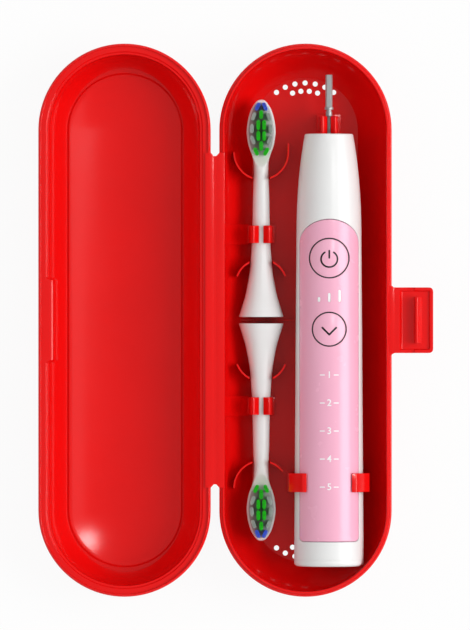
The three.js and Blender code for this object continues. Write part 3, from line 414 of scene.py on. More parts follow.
def make_flanges():
    """Flat flanges that lie over the shells' rims and reach out to the hinge lines."""
    base_wall = -END_RADIUS + BASE_CAVITY_INSET
    lid_side = LID_X + END_RADIUS
    hinge = (FLANGE_THICK, HINGE_HALF, HINGE_HALF - HINGE_NOTCH)
    latch = (WEB_THICK, WEB_HALF, FLAP_HALF)
    rows = [
        ("base_hinge_flange", base_wall, -END_RADIUS, HINGE_X + FILM_HALF, hinge),
        ("lid_hinge_flange", lid_side - LID_FLANGE_REACH, lid_side, HINGE_X - FILM_HALF, hinge),
        ("latch_web", END_RADIUS - WEB_REACH, END_RADIUS, LATCH_X - FILM_HALF, latch)]
    flanges = []
    for name, wall_x, outer_x, edge_x, (thickness, wall_half, edge_half) in rows:
        side = [(wall_x, -wall_half), (outer_x, -wall_half), (edge_x, -edge_half)]
        corners = side + [(x, -y) for x, y in side[::-1]]
        if wall_x > edge_x:
            corners = corners[::-1]
        prism = upright_prism(corners, RIM_Z - thickness, RIM_Z + FLANGE_LIFT, FLANGE_LIFT)
        flanges.append(merged(name, [prism]))
    return flanges


def make_film(name, middle_x, half_length):
    """A strip across a hinge line, level above and thinned from below along its middle."""
    reach = FILM_HALF + FILM_OVERLAP
    thin_z = RIM_Z - FILM_THICK
    edge_z = thin_z - FILM_EDGE_DROP
    right = [(reach * share, z) for share, z in zip(FILM_SHARES, (edge_z, edge_z, thin_z))]
    top = RIM_Z + FLANGE_LIFT - FILM_SUNK
    section = mirrored(right[::-1]) + right[::-1] + [(reach, top), (-reach, top)]
    outline = [(middle_x + a, b) for a, b in section]
    return merged(name, [lengthwise_prism(outline, -half_length, half_length)])


# Handle's main sizes, with its axis along Y

HANDLE_X = 9.17
HANDLE_Z = 15.55
HANDLE_TOP = 72.5
HANDLE_BOTTOM = -95.7
CAP_TOP = -93.2
SHOULDER_Y = 30.0
TOP_RADIUS = 9.36
SHOULDER_RADIUS = 12.67
BOTTOM_RADIUS = 13.55
SHOULDER_POWER = 2.35
HANDLE_SIDES = 128

# Brush heads' main sizes

HEAD_X = -17.2
HEAD_Z = 10.65
HEAD_FOOT_Y = 1.24
HEAD_LENGTH = 84.83
FOOT_RADIUS = 8.75

# Ribs, clips and latch

RIB_TOP = 16.0
RIB_FOOT_HALF = 0.5
RIB_TOP_HALF = 0.34
RIB_ROUND = 0.1
TIP_RIB_Y = 65.36
TIP_RIB_RADIUS = 10.57
TIP_RIB_STEPS = 36
TIP_RIB_TAILS = (1.2, 3.5)
LOWER_TIP_START = math.radians(37)
LOWER_TIP_STEPS = 30
FOOT_RIB_Y = 13.68
FOOT_RIB_RADIUS = 10.0
FOOT_RIB_SWEEP = math.radians(70)
FOOT_RIB_STEPS = 28
NECK_ROOM = 0.5
NECK_SLOT_STEPS = 10
DIVIDER_TOP = 5.1
DIVIDER_XS = (-31.0, -27.0, -23.0, -17.0, -4.35)
CLIP_LENGTH = 6.85
CLIP_SUNK = 0.5
CLIP_FOOT_ROUND = 0.6
CLIP_NOOK_ROUND = 0.3
CLIP_ROUND_STEPS = 8
MOUTH_STEPS = 24
HEAD_CLIP_Y = 33.43
SHAFT_CLIP_Y = 75.95
# A clip's bore, half width and top of its foot, end rounding, and the corners of its right side from the foot
# to the mouth: x, height over the axis, rounding
NECK_CLIP = (3.95, 5.3, 5.3, 0.15, [(4.8, 0.5, 3.0), (4.05, 5.2, 1.2), (3.1, 6.85, 1.1), (0.87, 4.4, 0.2)])
SHAFT_CLIP = (2.0, 4.6, 5.1, 0.2, [(3.4, 2.2, 1.0), (2.65, 4.6, 1.0), (0.67, 2.45, 0.2)])
CLIP_WEB_HALF = 3.95
CLIP_WEB_ROUND = 0.1
CLIP_WEB_FOOT_XS = (-31.5, -30.4, -29, -27.5, -26, -24.5, -22)
CLIP_WEB_CREST = [
    (-22.0, 5.2), (-22.8, 5.4), (-24.4, 6.3), (-26, 7.6), (-27.5, 9.3), (-29, 11.6), (-30.3, 15.0),
    (-31.5, 19.0)]
ARM_Y = -63.1
ARM_LENGTH = 7.3
ARM_REACH = 15.76
ARM_THICK = 1.4
ARM_BEND = 5.45
ARM_RISE = 5.21
ARM_LEAN = math.radians(45)
ARM_TIP = 1.75
ARM_TIP_LIFT = 0.29
ARM_ROUNDS = (0, 0, 1.6, 0.9, 0.35, 0.3, 1.0)
ARM_END_ROUND = 0.18
# Middle x, half width, middle y, half length and height of the pads under the clips and the arms
ARM_PAD_HEIGHT = 1.6
PAD_ROWS = [
    (HEAD_X, 5.6, HEAD_CLIP_Y, 3.725, 0.5), (HEAD_X, 5.6, -HEAD_CLIP_Y, 3.725, 0.5),
    (HANDLE_X, 4.9, SHAFT_CLIP_Y, 3.725, 0.5), (24.23, 1.3, ARM_Y, 4.25, ARM_PAD_HEIGHT),
    (-5.89, 1.3, ARM_Y, 4.25, ARM_PAD_HEIGHT), (HANDLE_X, 4.6, 78.9, 1.5, 3.3)]
PAD_SUNK = 0.3
PAD_CORNER = 0.5
PAD_ROUND = 0.15
FLAP_END = 49.63
FLAP_THICK = 2.2
FLAP_CORNER = 1.8
FLAP_CORNER_STEPS = 6
FLAP_HINGE_CORNER = 0.1
FLAP_BORDER = 1.25
BORDER_ROUND = 0.12
HINGE_EDGE_SHARE = 0.1
HINGE_EDGE_LEAST = 0.02
TRAY_Z = RIM_Z - 1.0
FLAP_TOP = RIM_Z + FLANGE_LIFT
# Insets, shifts of the hinge side and heights of the flap's outside and of the slope down to its tray
FLAP_ROWS = [
    (0.15, 0, RIM_Z - FLAP_THICK), (0, 0, RIM_Z - FLAP_THICK + 0.15), (0, 0, FLAP_TOP - 0.2),
    (0.03, 0, FLAP_TOP - 0.13), (0.16, 0, FLAP_TOP), (FLAP_BORDER - BORDER_ROUND, 0, FLAP_TOP),
    (FLAP_BORDER, 0, FLAP_TOP - 0.1), (FLAP_BORDER + 0.2, 0.44, TRAY_Z + 0.15),
    (FLAP_BORDER + 0.35, 0.55, TRAY_Z)]
# Across from the hinge's edge and up from the flap's top: a shallow dip over the flap's whole width
FLAP_DIP = [(1.7, 0), (6.5, -0.45), (6.85, -0.3), (6.95, 0.5), (1.7, 0.5)]
CATCH_X = 7.35
CATCH_HALF = 9.0
CATCH_ROUND = 0.2
# Across from the catch's near side, up from the tray, and rounding
CATCH_CORNERS = [
    (-0.25, -0.2, 0), (2.97, -0.2, 0), (2.72, 0.25, 0.2), (1.25, 4.35, 0.3), (0.4, 4.35, 0.3), (0, 0.25, 0.2)]


def height_at(rows, inset):
    """Height of a section's rows at an inset."""
    for (inset_a, z_a), (inset_b, z_b) in zip(rows, rows[1:]):
        if min(inset_a, inset_b) <= inset <= max(inset_a, inset_b):
            return z_a + (z_b - z_a) * (inset - inset_a) / (inset_b - inset_a)
    return rows[-1][1]


def wall_middle_z(x, y):
    """Height of the middle of the base shell's material, under a place inside it."""
    inset = END_RADIUS - math.hypot(x, max(abs(y) - STRAIGHT_HALF, 0))
    if inset >= BASE_EDGE_INSET:
        return WALL / 2
    outer = edge_rows(BASE_EDGE_INSET, BASE_EDGE_RISE)
    inner = inner_wall_rows(BASE_EDGE_INSET, BASE_CAVITY_INSET, WALL, BASE_CREASE)
    return (height_at(outer, inset) + height_at(inner, max(inset, BASE_CAVITY_INSET))) / 2


def rib_data(path, top):
    """A thin upright rib along a path on the floor, with a rounded top."""
    rings = []
    for i, place in enumerate(path):
        right = [(RIB_TOP_HALF - RIB_ROUND, top), (RIB_TOP_HALF, top - RIB_ROUND)]
        right.append((RIB_FOOT_HALF, wall_middle_z(*place)))
        along = (Vector(path[min(i + 1, len(path) - 1)]) - Vector(path[max(i - 1, 0)])).normalized()
        side = Vector((-along.y, along.x))
        spots = [(Vector(place) + side * across, up) for across, up in mirrored(right) + right]
        rings.append([(spot.x, spot.y, up) for spot, up in spots])
    return loft_data(rings)


def make_ribs():
    """The curved ribs round the heads, with a slot for each neck, and the divider between them."""
    tail_x = HEAD_X + TIP_RIB_RADIUS
    upper_tip = arc(HEAD_X, TIP_RIB_Y, TIP_RIB_RADIUS, math.pi, 2 * math.pi, TIP_RIB_STEPS)
    upper_tip += [(tail_x, TIP_RIB_Y + reach) for reach in TIP_RIB_TAILS]
    paths = [upper_tip, arc(HEAD_X, -TIP_RIB_Y, TIP_RIB_RADIUS, LOWER_TIP_START, math.pi, LOWER_TIP_STEPS)]
    for end in (1, -1):
        middle = end * QUARTER
        paths.append(arc(HEAD_X, end * FOOT_RIB_Y, FOOT_RIB_RADIUS, middle - FOOT_RIB_SWEEP,
                         middle + FOOT_RIB_SWEEP, FOOT_RIB_STEPS))
    ribs = merged("floor_ribs", [rib_data(path, RIB_TOP) for path in paths])
    top = RIB_TOP + CUT_OVERRUN
    for place in (FOOT_RIB_Y + FOOT_RIB_RADIUS, TIP_RIB_Y - TIP_RIB_RADIUS):
        share = (place - HEAD_FOOT_Y) / HEAD_LENGTH
        half = smooth_table(WIDTH_TABLE, share) * FOOT_RADIUS + NECK_ROOM
        low = HEAD_Z - half
        corners = [(-half, low, half), (half, low, half), (half, top, 0), (-half, top, 0)]
        slot = rounded_outline([(HEAD_X + a, b, size) for a, b, size in corners], steps=NECK_SLOT_STEPS)
        for end in (1, -1):
            middle = end * place
            cut(ribs, [lengthwise_prism(slot, middle - TIP_RIB_RADIUS / 2, middle + TIP_RIB_RADIUS / 2)])
    divider = rib_data([(x, 0) for x in DIVIDER_XS], DIVIDER_TOP)
    return [ribs, merged("floor_divider", [divider])]


def make_clip(name, x, axis_z, y, sizes):
    """A C-shaped clip on a foot."""
    bore, foot_half, foot_top, end_round, climb = sizes
    right = [(foot_half, WALL + CLIP_SUNK, 0), (foot_half, foot_top, CLIP_FOOT_ROUND)]
    right += [(climb[0][0], foot_top, CLIP_NOOK_ROUND)] + [(a, axis_z + up, size) for a, up, size in climb]
    mouth = arc(0, axis_z, bore, math.acos(climb[-1][0] / bore), -QUARTER, MOUTH_STEPS)
    right += [(a, b, 0) for a, b in mouth]
    left = [(-a, b, size) for a, b, size in right[::-1]]
    outline = [(x + a, b) for a, b in rounded_outline(right + left[1:], steps=CLIP_ROUND_STEPS)]
    return merged(name, [lengthwise_prism(outline, y - CLIP_LENGTH / 2, y + CLIP_LENGTH / 2, end_round)])


def clip_web_data(y):
    """A sloped web from the wall at the hinge down to the foot of a neck clip."""
    outline = [(x, wall_middle_z(x, y)) for x in CLIP_WEB_FOOT_XS] + CLIP_WEB_CREST
    return lengthwise_prism(outline, y - CLIP_WEB_HALF, y + CLIP_WEB_HALF, CLIP_WEB_ROUND)


def make_arm(name, side):
    """An upright arm whose top leans in over the handle."""
    inner = ARM_REACH - ARM_THICK
    inner_bend = ARM_BEND - ARM_THICK * math.tan(ARM_LEAN / 2)
    base = WALL + ARM_PAD_HEIGHT - HANDLE_Z
    crest_z = ARM_BEND + ARM_RISE
    tip_x = ARM_REACH - ARM_RISE - ARM_TIP
    corners = [(inner, base), (ARM_REACH, base), (ARM_REACH, ARM_BEND), (ARM_REACH - ARM_RISE, crest_z),
               (tip_x, crest_z + ARM_TIP_LIFT), (tip_x, inner + inner_bend - tip_x), (inner, inner_bend)]
    outline = rounded_outline([(*corner, size) for corner, size in zip(corners, ARM_ROUNDS)])
    if side < 0:
        outline = mirrored(outline)
    outline = [(HANDLE_X + a, HANDLE_Z + b) for a, b in outline]
    low = ARM_Y - ARM_LENGTH / 2
    return merged(name, [lengthwise_prism(outline, low, low + ARM_LENGTH, ARM_END_ROUND)])


def make_clip_pads():
    """Low pads that carry the clips and the arms, and the webs beside the neck clips."""
    data = [clip_web_data(HEAD_CLIP_Y), clip_web_data(-HEAD_CLIP_Y)]
    for x, half_x, y, half_y, height in PAD_ROWS:
        outline = rounded_outline(box_outline(x - half_x, x + half_x, y - half_y, y + half_y), PAD_CORNER)
        data.append(upright_prism(outline, WALL - PAD_SUNK, WALL + height, PAD_ROUND))
    return merged("clip_pads", data)


def make_latch():
    """The latch flap: a plate with a raised border round a tray, and its catch rib."""
    start = LATCH_X + FILM_HALF
    rings = []
    for inset, shift, z in FLAP_ROWS:
        near = inset
        if inset < FLAP_BORDER - BORDER_ROUND:
            near = max(inset * HINGE_EDGE_SHARE, HINGE_EDGE_LEAST)
        half = FLAP_HALF - inset
        box = box_outline(start + near + shift, FLAP_END - inset, -half, half)
        rounds = (FLAP_HINGE_CORNER, FLAP_CORNER - inset, FLAP_CORNER - inset, FLAP_HINGE_CORNER)
        corners = [(*corner, size) for corner, size in zip(box, rounds)]
        rings.append([(a, b, z) for a, b in rounded_outline(corners, steps=FLAP_CORNER_STEPS)])
    flap = merged("latch_flap_body", [loft_data(rings)])
    dip = [(start + across, FLAP_TOP + up) for across, up in FLAP_DIP]
    cut(flap, [lengthwise_prism(dip, -FLAP_HALF - CUT_OVERRUN, FLAP_HALF + CUT_OVERRUN)])
    corners = [(LATCH_X + CATCH_X + across, TRAY_Z + up, size) for across, up, size in CATCH_CORNERS]
    catch = lengthwise_prism(rounded_outline(corners), -CATCH_HALF, CATCH_HALF, CATCH_ROUND)
    return [flap, merged("latch_catch", [catch])]


# Handle

HANDLE_WALL = 2.4
TOP_CORNER = 0.7
CORNER_STEPS = 8
CAP_STEP = 0.06
CAP_STEP_ROWS = 8
LOWER_STEPS = 12
UPPER_STEPS = 28
CAP_MARGIN = 0.4
# Radius, and y from the handle's top
SHAFT_HOLE = [(4.6, 0), (4.35, -0.1), (4.3, -0.3), (4.3, -HANDLE_WALL)]
INNER_YS = (HANDLE_TOP - HANDLE_WALL, 62, 52, 42, SHOULDER_Y, -30, CAP_TOP)
PANEL_HALF = 11.6
PANEL_TOP = 39.1
PANEL_BOTTOM = -85.9
PANEL_ARCH = 9.3
PANEL_CORNER = 1.75
PANEL_FOOT_XS = (1.5, 4.0, 7.0)
PANEL_SIDE_STEPS = 24
PANEL_ARCH_STEPS = 20
# Along the panel, the line towards which its outline is pulled in, and how far its ends stand back
PANEL_SPINE_FOOT = 10
PANEL_SPINE_HEAD = 11
PANEL_SPINE = (0.0, PANEL_BOTTOM + PANEL_SPINE_FOOT, PANEL_TOP - PANEL_SPINE_HEAD)
# Insets and heights over the handle's surface, from the lower edge of a form to its upper edge
PANEL_SIDE = [(0.05, -1.0), (0, -0.94), (0, -0.25), (0.03, -0.12), (0.1, -0.04), (0.26, 0)]
RECESS_SIDE = [(-0.2, -1.3), (-0.2, -0.3), (-0.25, -0.12), (-0.4, 0.03), (-0.4, 1.5)]
POCKET_SIDE = [(-0.5, -1.85), (-0.5, -0.5)]
KEY_HOLE_SIDE = [(-0.5, -2), (-0.5, -0.2), (-0.54, -0.06), (-0.62, 0.02), (-0.62, 1)]
KEY_SIDE = [(0.05, -0.95), (0, -0.9), (0, -0.22), (0.04, -0.1), (0.12, -0.03), (0.28, 0)]
BAR_SIDE = [(0.02, -4.6), (0, -4.55), (0, -0.1), (0.06, 0.02)]
BAR_RECESS_SIDE = [(0, -5), (0, -0.5)]
BAR_HOLE_SIDE = [(0, -2), (0, 1)]
# A dark band's outer and inner inset, and its lower and upper height over the surface. The bands fill the
# gaps round the panel and round each key, as painted shade for those gaps.
PANEL_GAP_SHADE = (-0.15, 1.0, -1.28, -1.02)
KEY_GAP_SHADE = (-0.47, -0.04, -1.7, -0.16)
# How far round the handle's side a form can reach, and the rings of a draped form from its edge to its middle
DRAPE_REACH_SHARE = 0.999
CAP_SHARES = (0.93, 0.82, 0.7, 0.57, 0.43, 0.29, 0.15, 0.0)
BAR_SHARES = (0.5, 0.0)
POWER_Y = 24.1
POWER_RADIUS = 7.4
MODE_Y = -3.5
MODE_RADIUS = 6.3
KEYS = [("power_key", POWER_Y, POWER_RADIUS), ("mode_key", MODE_Y, MODE_RADIUS)]
KEY_SIDES = 72
KEY_CROWN = 0.45
STEM_RADIUS = 1.6
STEM_HOLE_RADIUS = 1.9
STEM_DROP = 0.5
# Heights over the handle's axis
STEM_FOOT = 9.85
STEM_HOLE = (7.1, 14)
LIGHT_STRIP = (7.1, 8.35)
TUBE_SIDES = 32
TUBE_ROUND = 0.05
SUNK = 0.02
STROKE_THICK = 0.06
STROKE_END_DEGREES = (80, 60, 35, 15)
POWER_ARC_RADIUS = 3.1
POWER_ARC_DROP = 0.4
POWER_ARC_GAP = math.radians(33)
POWER_ARC_STEPS = 40
POWER_BAR = (0.1, 1.2, 2.85)
POWER_STROKE = 0.62
MODE_WING = 2.6
MODE_TOP = 0.6
MODE_TIP = -2.1
MODE_STEPS = 6
MODE_STROKE = 0.7
MODE_SECOND_THICK = 0.065
BAR_PITCH = 4.02
BAR_BOTTOM = 7.07
BAR_HEIGHTS = (1.94, 3.5, 4.74)
BAR_WIDTH = 1.0
BAR_STEPS = 8
BAR_HOLE_GROW = 0.05
BAR_RECESS_GROW = 0.12
LIGHT_STRIP_HALF = 4.8
LIGHT_STRIP_YS = (BAR_BOTTOM - 0.3, BAR_BOTTOM + 5.04)
MARK_TOP_Y = -21.25
MARK_PITCH = 10.87
MARK_COUNT = 5
DIGIT_SIZE = 3.7
DIGIT_GROW = 0.03
DIGIT_DEPTH = 0.5
DIGIT_HEIGHT = 0.045
DASH_START = 1.9
DASH_LENGTH = 1.6
DASH_WIDTH = 0.42
DASH_STEPS = 4
CAP_CORNER = 1.5
CAP_CORNER_STEPS = 10
CAP_BOTTOM_RADII = (0, 4, 9)
# Radius and height over the cap's top
CAP_PLUG = [(10.8, 0), (10.8, 7.2), (9.0, 7.2), (9.0, 0), (0, 0)]
CAP_EDGE = [(0, -0.15), (-0.08, 0)]
SHAFT_SIDES = 48
SHAFT_FLAT_START = 83
SHAFT_FLAT = 1.1
# Radius and y: a neck, a groove, a collar, and a tip with a flat
SHAFT_PROFILE = [
    (1.25, 44.0), (1.25, 81.2), (1.0, 81.25), (1.0, 81.88), (1.66, 81.92), (1.68, 82.0), (1.68, 82.85),
    (1.64, 82.95), (1.39, 83.0), (1.39, 87.68), (1.33, 87.74), (1.33, 87.86), (1.39, 87.92), (1.39, 95.23),
    (1.35, 95.41), (1.24, 95.51), (1.12, 95.55), (0.4, 95.55)]


def handle_radius(y):
    """A straight taper up to the shoulder, and a curve from there to the top."""
    if y <= SHOULDER_Y:
        share = (y - HANDLE_BOTTOM) / (SHOULDER_Y - HANDLE_BOTTOM)
        return BOTTOM_RADIUS + (SHOULDER_RADIUS - BOTTOM_RADIUS) * share
    share = min((y - SHOULDER_Y) / (HANDLE_TOP - SHOULDER_Y), 1)
    return SHOULDER_RADIUS - (SHOULDER_RADIUS - TOP_RADIUS) * share ** SHOULDER_POWER


def drape(x, y, offset):
    """A point over the handle's front, at an offset from its surface."""
    radius = handle_radius(y)
    share = max(-DRAPE_REACH_SHARE, min(DRAPE_REACH_SHARE, x / radius))
    reach = radius + offset
    return (HANDLE_X + reach * share, y, HANDLE_Z + reach * math.sqrt(1 - share * share))


def draped_ring(outline, spine, inset, share, offset, upright=False):
    """An outline pulled in on the handle's surface towards a line along it, given by x and its ends.

    An upright one stays in place across at any offset.
    """
    middle, low, high = spine
    ring = []
    for x, y in outline:
        target_y = max(low, min(high, y))
        dx = x - middle
        dy = y - target_y
        length = math.hypot(dx, dy)
        scale = share * (length - inset) / length
        across = middle + dx * scale
        along = target_y + dy * scale
        if upright:
            radius = handle_radius(along)
            across *= radius / (radius + offset)
        ring.append(drape(across, along, offset))
    return ring


def draped_data(outline, spine, side, shares=CAP_SHARES, crown=0.0, upright=False):
    """A closed solid that follows the handle's surface. Its middle stands above its edge by the crown."""
    low_inset, low_offset = side[0]
    high_inset, high_offset = side[-1]
    rings = [draped_ring(outline, spine, low_inset, share, low_offset, upright) for share in shares[::-1]]
    rings += [draped_ring(outline, spine, inset, 1, offset, upright) for inset, offset in side]
    for share in shares:
        offset = high_offset + crown * (1 - share ** 2)
        rings.append(draped_ring(outline, spine, high_inset, share, offset, upright))
    points, faces = loft_data(rings)
    return points, faces[:-2]


def draped_band_data(outline, spine, sizes, upright=False):
    """A closed band along an outline on the handle's surface."""
    outer, inner, low, high = sizes
    corners = [(outer, low), (outer, high), (inner, high), (inner, low)]
    rings = [draped_ring(outline, spine, inset, 1, offset, upright) for inset, offset in corners]
    return loft_data(rings, closed=True)


def key_data(y, radius, side, crown=0.0):
    return draped_data(circle(0, y, radius, KEY_SIDES), (0.0, y, y), side, crown=crown, upright=True)


def panel_outline():
    corner_y = PANEL_BOTTOM + PANEL_CORNER
    arch_y = PANEL_TOP - PANEL_ARCH
    right = [(x, PANEL_BOTTOM) for x in PANEL_FOOT_XS]
    right += arc(PANEL_HALF - PANEL_CORNER, corner_y, PANEL_CORNER, -QUARTER, 0, CORNER_STEPS)
    right += [(PANEL_HALF, y) for y in even(corner_y, arch_y, PANEL_SIDE_STEPS)[1:]]
    for angle in even(0, QUARTER, PANEL_ARCH_STEPS)[1:-1]:
        right.append((PANEL_HALF * math.cos(angle), arch_y + PANEL_ARCH * math.sin(angle)))
    return right + [(0, PANEL_TOP)] + mirrored(right) + [(0, PANEL_BOTTOM)]


def bars_data(grow, side):
    """Three upright bars of growing height, laid over the handle's front."""
    parts = []
    radius = BAR_WIDTH / 2 + grow
    for i, height in enumerate(BAR_HEIGHTS):
        x = (i - 1) * BAR_PITCH
        low = BAR_BOTTOM - grow + radius
        high = BAR_BOTTOM + height + grow - radius
        outline = arc(x, low, radius, -math.pi, 0, BAR_STEPS) + arc(x, high, radius, 0, math.pi, BAR_STEPS)
        parts.append(draped_data(outline, (x, low, high), side, BAR_SHARES))
    return parts


def upright_tube(y, radius, low, high):
    return upright_prism(circle(HANDLE_X, y, radius, TUBE_SIDES), HANDLE_Z + low, HANDLE_Z + high, TUBE_ROUND)


def make_handle_shell():
    """The handle's shell, open below, with the panel's recess, the keys' pockets and the bars' openings."""
    outer = [(handle_radius(CAP_TOP) - CAP_STEP + rise, CAP_TOP + rise)
             for rise in even(0, CAP_STEP, CAP_STEP_ROWS)[1:]]
    top = HANDLE_TOP - TOP_CORNER
    stations = even(CAP_TOP + CAP_MARGIN, SHOULDER_Y, LOWER_STEPS) + even(SHOULDER_Y, top, UPPER_STEPS)[1:]
    outer += [(handle_radius(y), y) for y in stations]
    outer += arc(handle_radius(top) - TOP_CORNER, top, TOP_CORNER, 0, QUARTER, CORNER_STEPS)[1:]
    outer += [(radius, HANDLE_TOP + up) for radius, up in SHAFT_HOLE]
    inner = [(handle_radius(y) - HANDLE_WALL, y) for y in INNER_YS]
    shell = merged("handle_body", [lathe_data(outer + inner, HANDLE_SIDES, HANDLE_X, HANDLE_Z)])
    cut(shell, [draped_data(panel_outline(), PANEL_SPINE, RECESS_SIDE)])
    for _, y, radius in KEYS:
        cut(shell, [key_data(y, radius, POCKET_SIDE)])
        cut(shell, [upright_tube(y, STEM_HOLE_RADIUS, *STEM_HOLE)])
    return cut(shell, bars_data(BAR_RECESS_GROW, BAR_RECESS_SIDE))


def make_panel():
    panel = merged("panel", [draped_data(panel_outline(), PANEL_SPINE, PANEL_SIDE)])
    for _, y, radius in KEYS:
        cut(panel, [key_data(y, radius, KEY_HOLE_SIDE)])
    return cut(panel, bars_data(BAR_HOLE_GROW, BAR_HOLE_SIDE))


def make_key(name, y, radius):
    """A crowned key with the stem that presses its switch."""
    stem = upright_tube(y, STEM_RADIUS, STEM_FOOT, handle_radius(y) - STEM_DROP)
    return merged(name, [key_data(y, radius, KEY_SIDE, KEY_CROWN), stem])


def ribbon_data(path, width, key=None, thick=STROKE_THICK):
    """A flat stroke along a path on the handle's surface or on a crowned key, with rounded ends."""
    half = width / 2
    spots = [Vector(p) for p in path]
    first = (spots[1] - spots[0]).normalized()
    last = (spots[-1] - spots[-2]).normalized()
    turns = [math.radians(angle) for angle in STROKE_END_DEGREES]
    stations = [(spots[0] - first * half * math.sin(turn), first, half * math.cos(turn)) for turn in turns]
    for i, spot in enumerate(spots):
        along = spots[min(i + 1, len(spots) - 1)] - spots[max(i - 1, 0)]
        stations.append((spot, along.normalized(), half))
    for turn in turns[::-1]:
        stations.append((spots[-1] + last * half * math.sin(turn), last, half * math.cos(turn)))
    rings = []
    for spot, along, reach in stations:
        side = Vector((-along.y, along.x)) * reach
        ring = []
        for edge, rises in ((spot + side, (0, thick)), (spot - side, (thick, 0))):
            base = -SUNK
            if key:
                base += KEY_CROWN * (1 - min((edge.x ** 2 + (edge.y - key[0]) ** 2) / key[1] ** 2, 1))
            ring += [drape(edge.x, edge.y, base + rise) for rise in rises]
        rings.append(ring)
    return loft_data(rings)


def make_power_symbol():
    """An open ring with a bar in its gap."""
    key = (POWER_Y, POWER_RADIUS)
    start = QUARTER + POWER_ARC_GAP
    ring = arc(0, POWER_Y - POWER_ARC_DROP, POWER_ARC_RADIUS, start, start + 2 * (math.pi - POWER_ARC_GAP),
               POWER_ARC_STEPS)
    bar = [(0, POWER_Y + rise) for rise in POWER_BAR]
    return merged("power_symbol", [ribbon_data(path, POWER_STROKE, key) for path in (ring, bar)])


def make_mode_symbol():
    """Two strokes that meet in a point towards the handle's foot."""
    key = (MODE_Y, MODE_RADIUS)
    left = list(zip(even(-MODE_WING, 0, MODE_STEPS), even(MODE_Y + MODE_TOP, MODE_Y + MODE_TIP, MODE_STEPS)))
    right = [(-x, y) for x, y in left]
    return merged("mode_symbol", [
        ribbon_data(left, MODE_STROKE, key), ribbon_data(right, MODE_STROKE, key, MODE_SECOND_THICK)])


def digit_data(text, y):
    """A number laid over the handle's front."""
    curve = bpy.data.curves.new("digit", "FONT")
    curve.body = text
    curve.size = DIGIT_SIZE
    curve.extrude = DIGIT_DEPTH
    curve.offset = DIGIT_GROW
    curve.align_x = "CENTER"
    curve.align_y = "CENTER"
    thing = linked(bpy.data.objects.new("digit", curve))
    bpy.context.view_layer.update()
    mesh = bpy.data.meshes.new_from_object(thing.evaluated_get(bpy.context.evaluated_depsgraph_get()))
    points = [drape(v.co.x, y + v.co.y, DIGIT_HEIGHT if v.co.z > 0 else -SUNK) for v in mesh.vertices]
    faces = [tuple(p.vertices) for p in mesh.polygons]
    bpy.data.objects.remove(thing)
    bpy.data.curves.remove(curve)
    bpy.data.meshes.remove(mesh)
    return points, faces


def make_marks():
    """Plain numbers between dashes, one for each of the five lights."""
    parts = []
    for number in range(MARK_COUNT):
        y = MARK_TOP_Y - MARK_PITCH * number
        parts.append(digit_data(str(number + 1), y))
        for side in (1, -1):
            dash = [(side * x, y) for x in even(DASH_START, DASH_START + DASH_LENGTH, DASH_STEPS)]
            parts.append(ribbon_data(dash, DASH_WIDTH))
    return merged("mode_numbers", parts)


def make_bottom_cap():
    radius = handle_radius(CAP_TOP)
    profile = [(a, HANDLE_BOTTOM) for a in CAP_BOTTOM_RADII]
    profile += arc(radius - CAP_CORNER, HANDLE_BOTTOM + CAP_CORNER, CAP_CORNER, -QUARTER, 0, CAP_CORNER_STEPS)
    profile += [(radius + across, CAP_TOP + up) for across, up in CAP_EDGE]
    profile += [(a, CAP_TOP + up) for a, up in CAP_PLUG]
    return merged("handle_end_cap", [lathe_data(profile, HANDLE_SIDES, HANDLE_X, HANDLE_Z)])


def make_shaft():
    rings = []
    for radius, y in SHAFT_PROFILE:
        top = SHAFT_FLAT if y >= SHAFT_FLAT_START else radius
        spots = circle(0, 0, radius, SHAFT_SIDES)
        rings.append([(HANDLE_X + a, y, HANDLE_Z + min(b, top)) for a, b in spots])
    return merged("shaft", [loft_data(rings)])


# Brush heads

HEAD_SIDES = 64
FLAT_POWER = 3.2
FLAT_START = 0.66
FLAT_SPAN = 0.1
NECK_SHARE = 0.68
FACE_HEIGHT = 1.1
FACE_SHARE = 0.75
FACE_SLOPE = 0.1
FACE_DROP = 2.7
FACE_SOFTNESS = 0.07
FACE_SOFT_REACH = 20 * FACE_SOFTNESS
# Share of the head's length from its foot, and half width as a share of the foot's radius
WIDTH_TABLE = [
    (0, 1), (0.0524, 0.84), (0.098, 0.707), (0.1436, 0.613), (0.189, 0.536), (0.2348, 0.486), (0.2803, 0.449),
    (0.3268, 0.417), (0.4407, 0.381), (0.536, 0.365),
    (0.68, 0.325), (0.7104, 0.337), (0.741, 0.402), (0.7717, 0.513), (0.8023, 0.593), (0.854, 0.648),
    (0.8943, 0.608), (0.925, 0.544), (0.9555, 0.44), (0.986, 0.253), (0.996, 0.15), (1, 0.03)]
# Share of the head's length, and half height in millimetres
HEIGHT_TABLE = [
    (0.68, 2.84), (0.7104, 2.69), (0.741, 2.52), (0.7717, 2.4), (0.8943, 2.4), (0.925, 2.3), (0.9555, 2.06),
    (0.986, 1.45), (0.996, 0.9), (1, 0.2)]
# Shares of the head's length at which its rings lie, closer together at both ends
RING_SHARES = [0.003, 0.0055, 0.008, *even(0.02, NECK_SHARE, 44), *even(0.69, 0.99, 48)]
RING_SHARES += [0.9925, 0.995, 0.997, 0.9985, 0.9995]
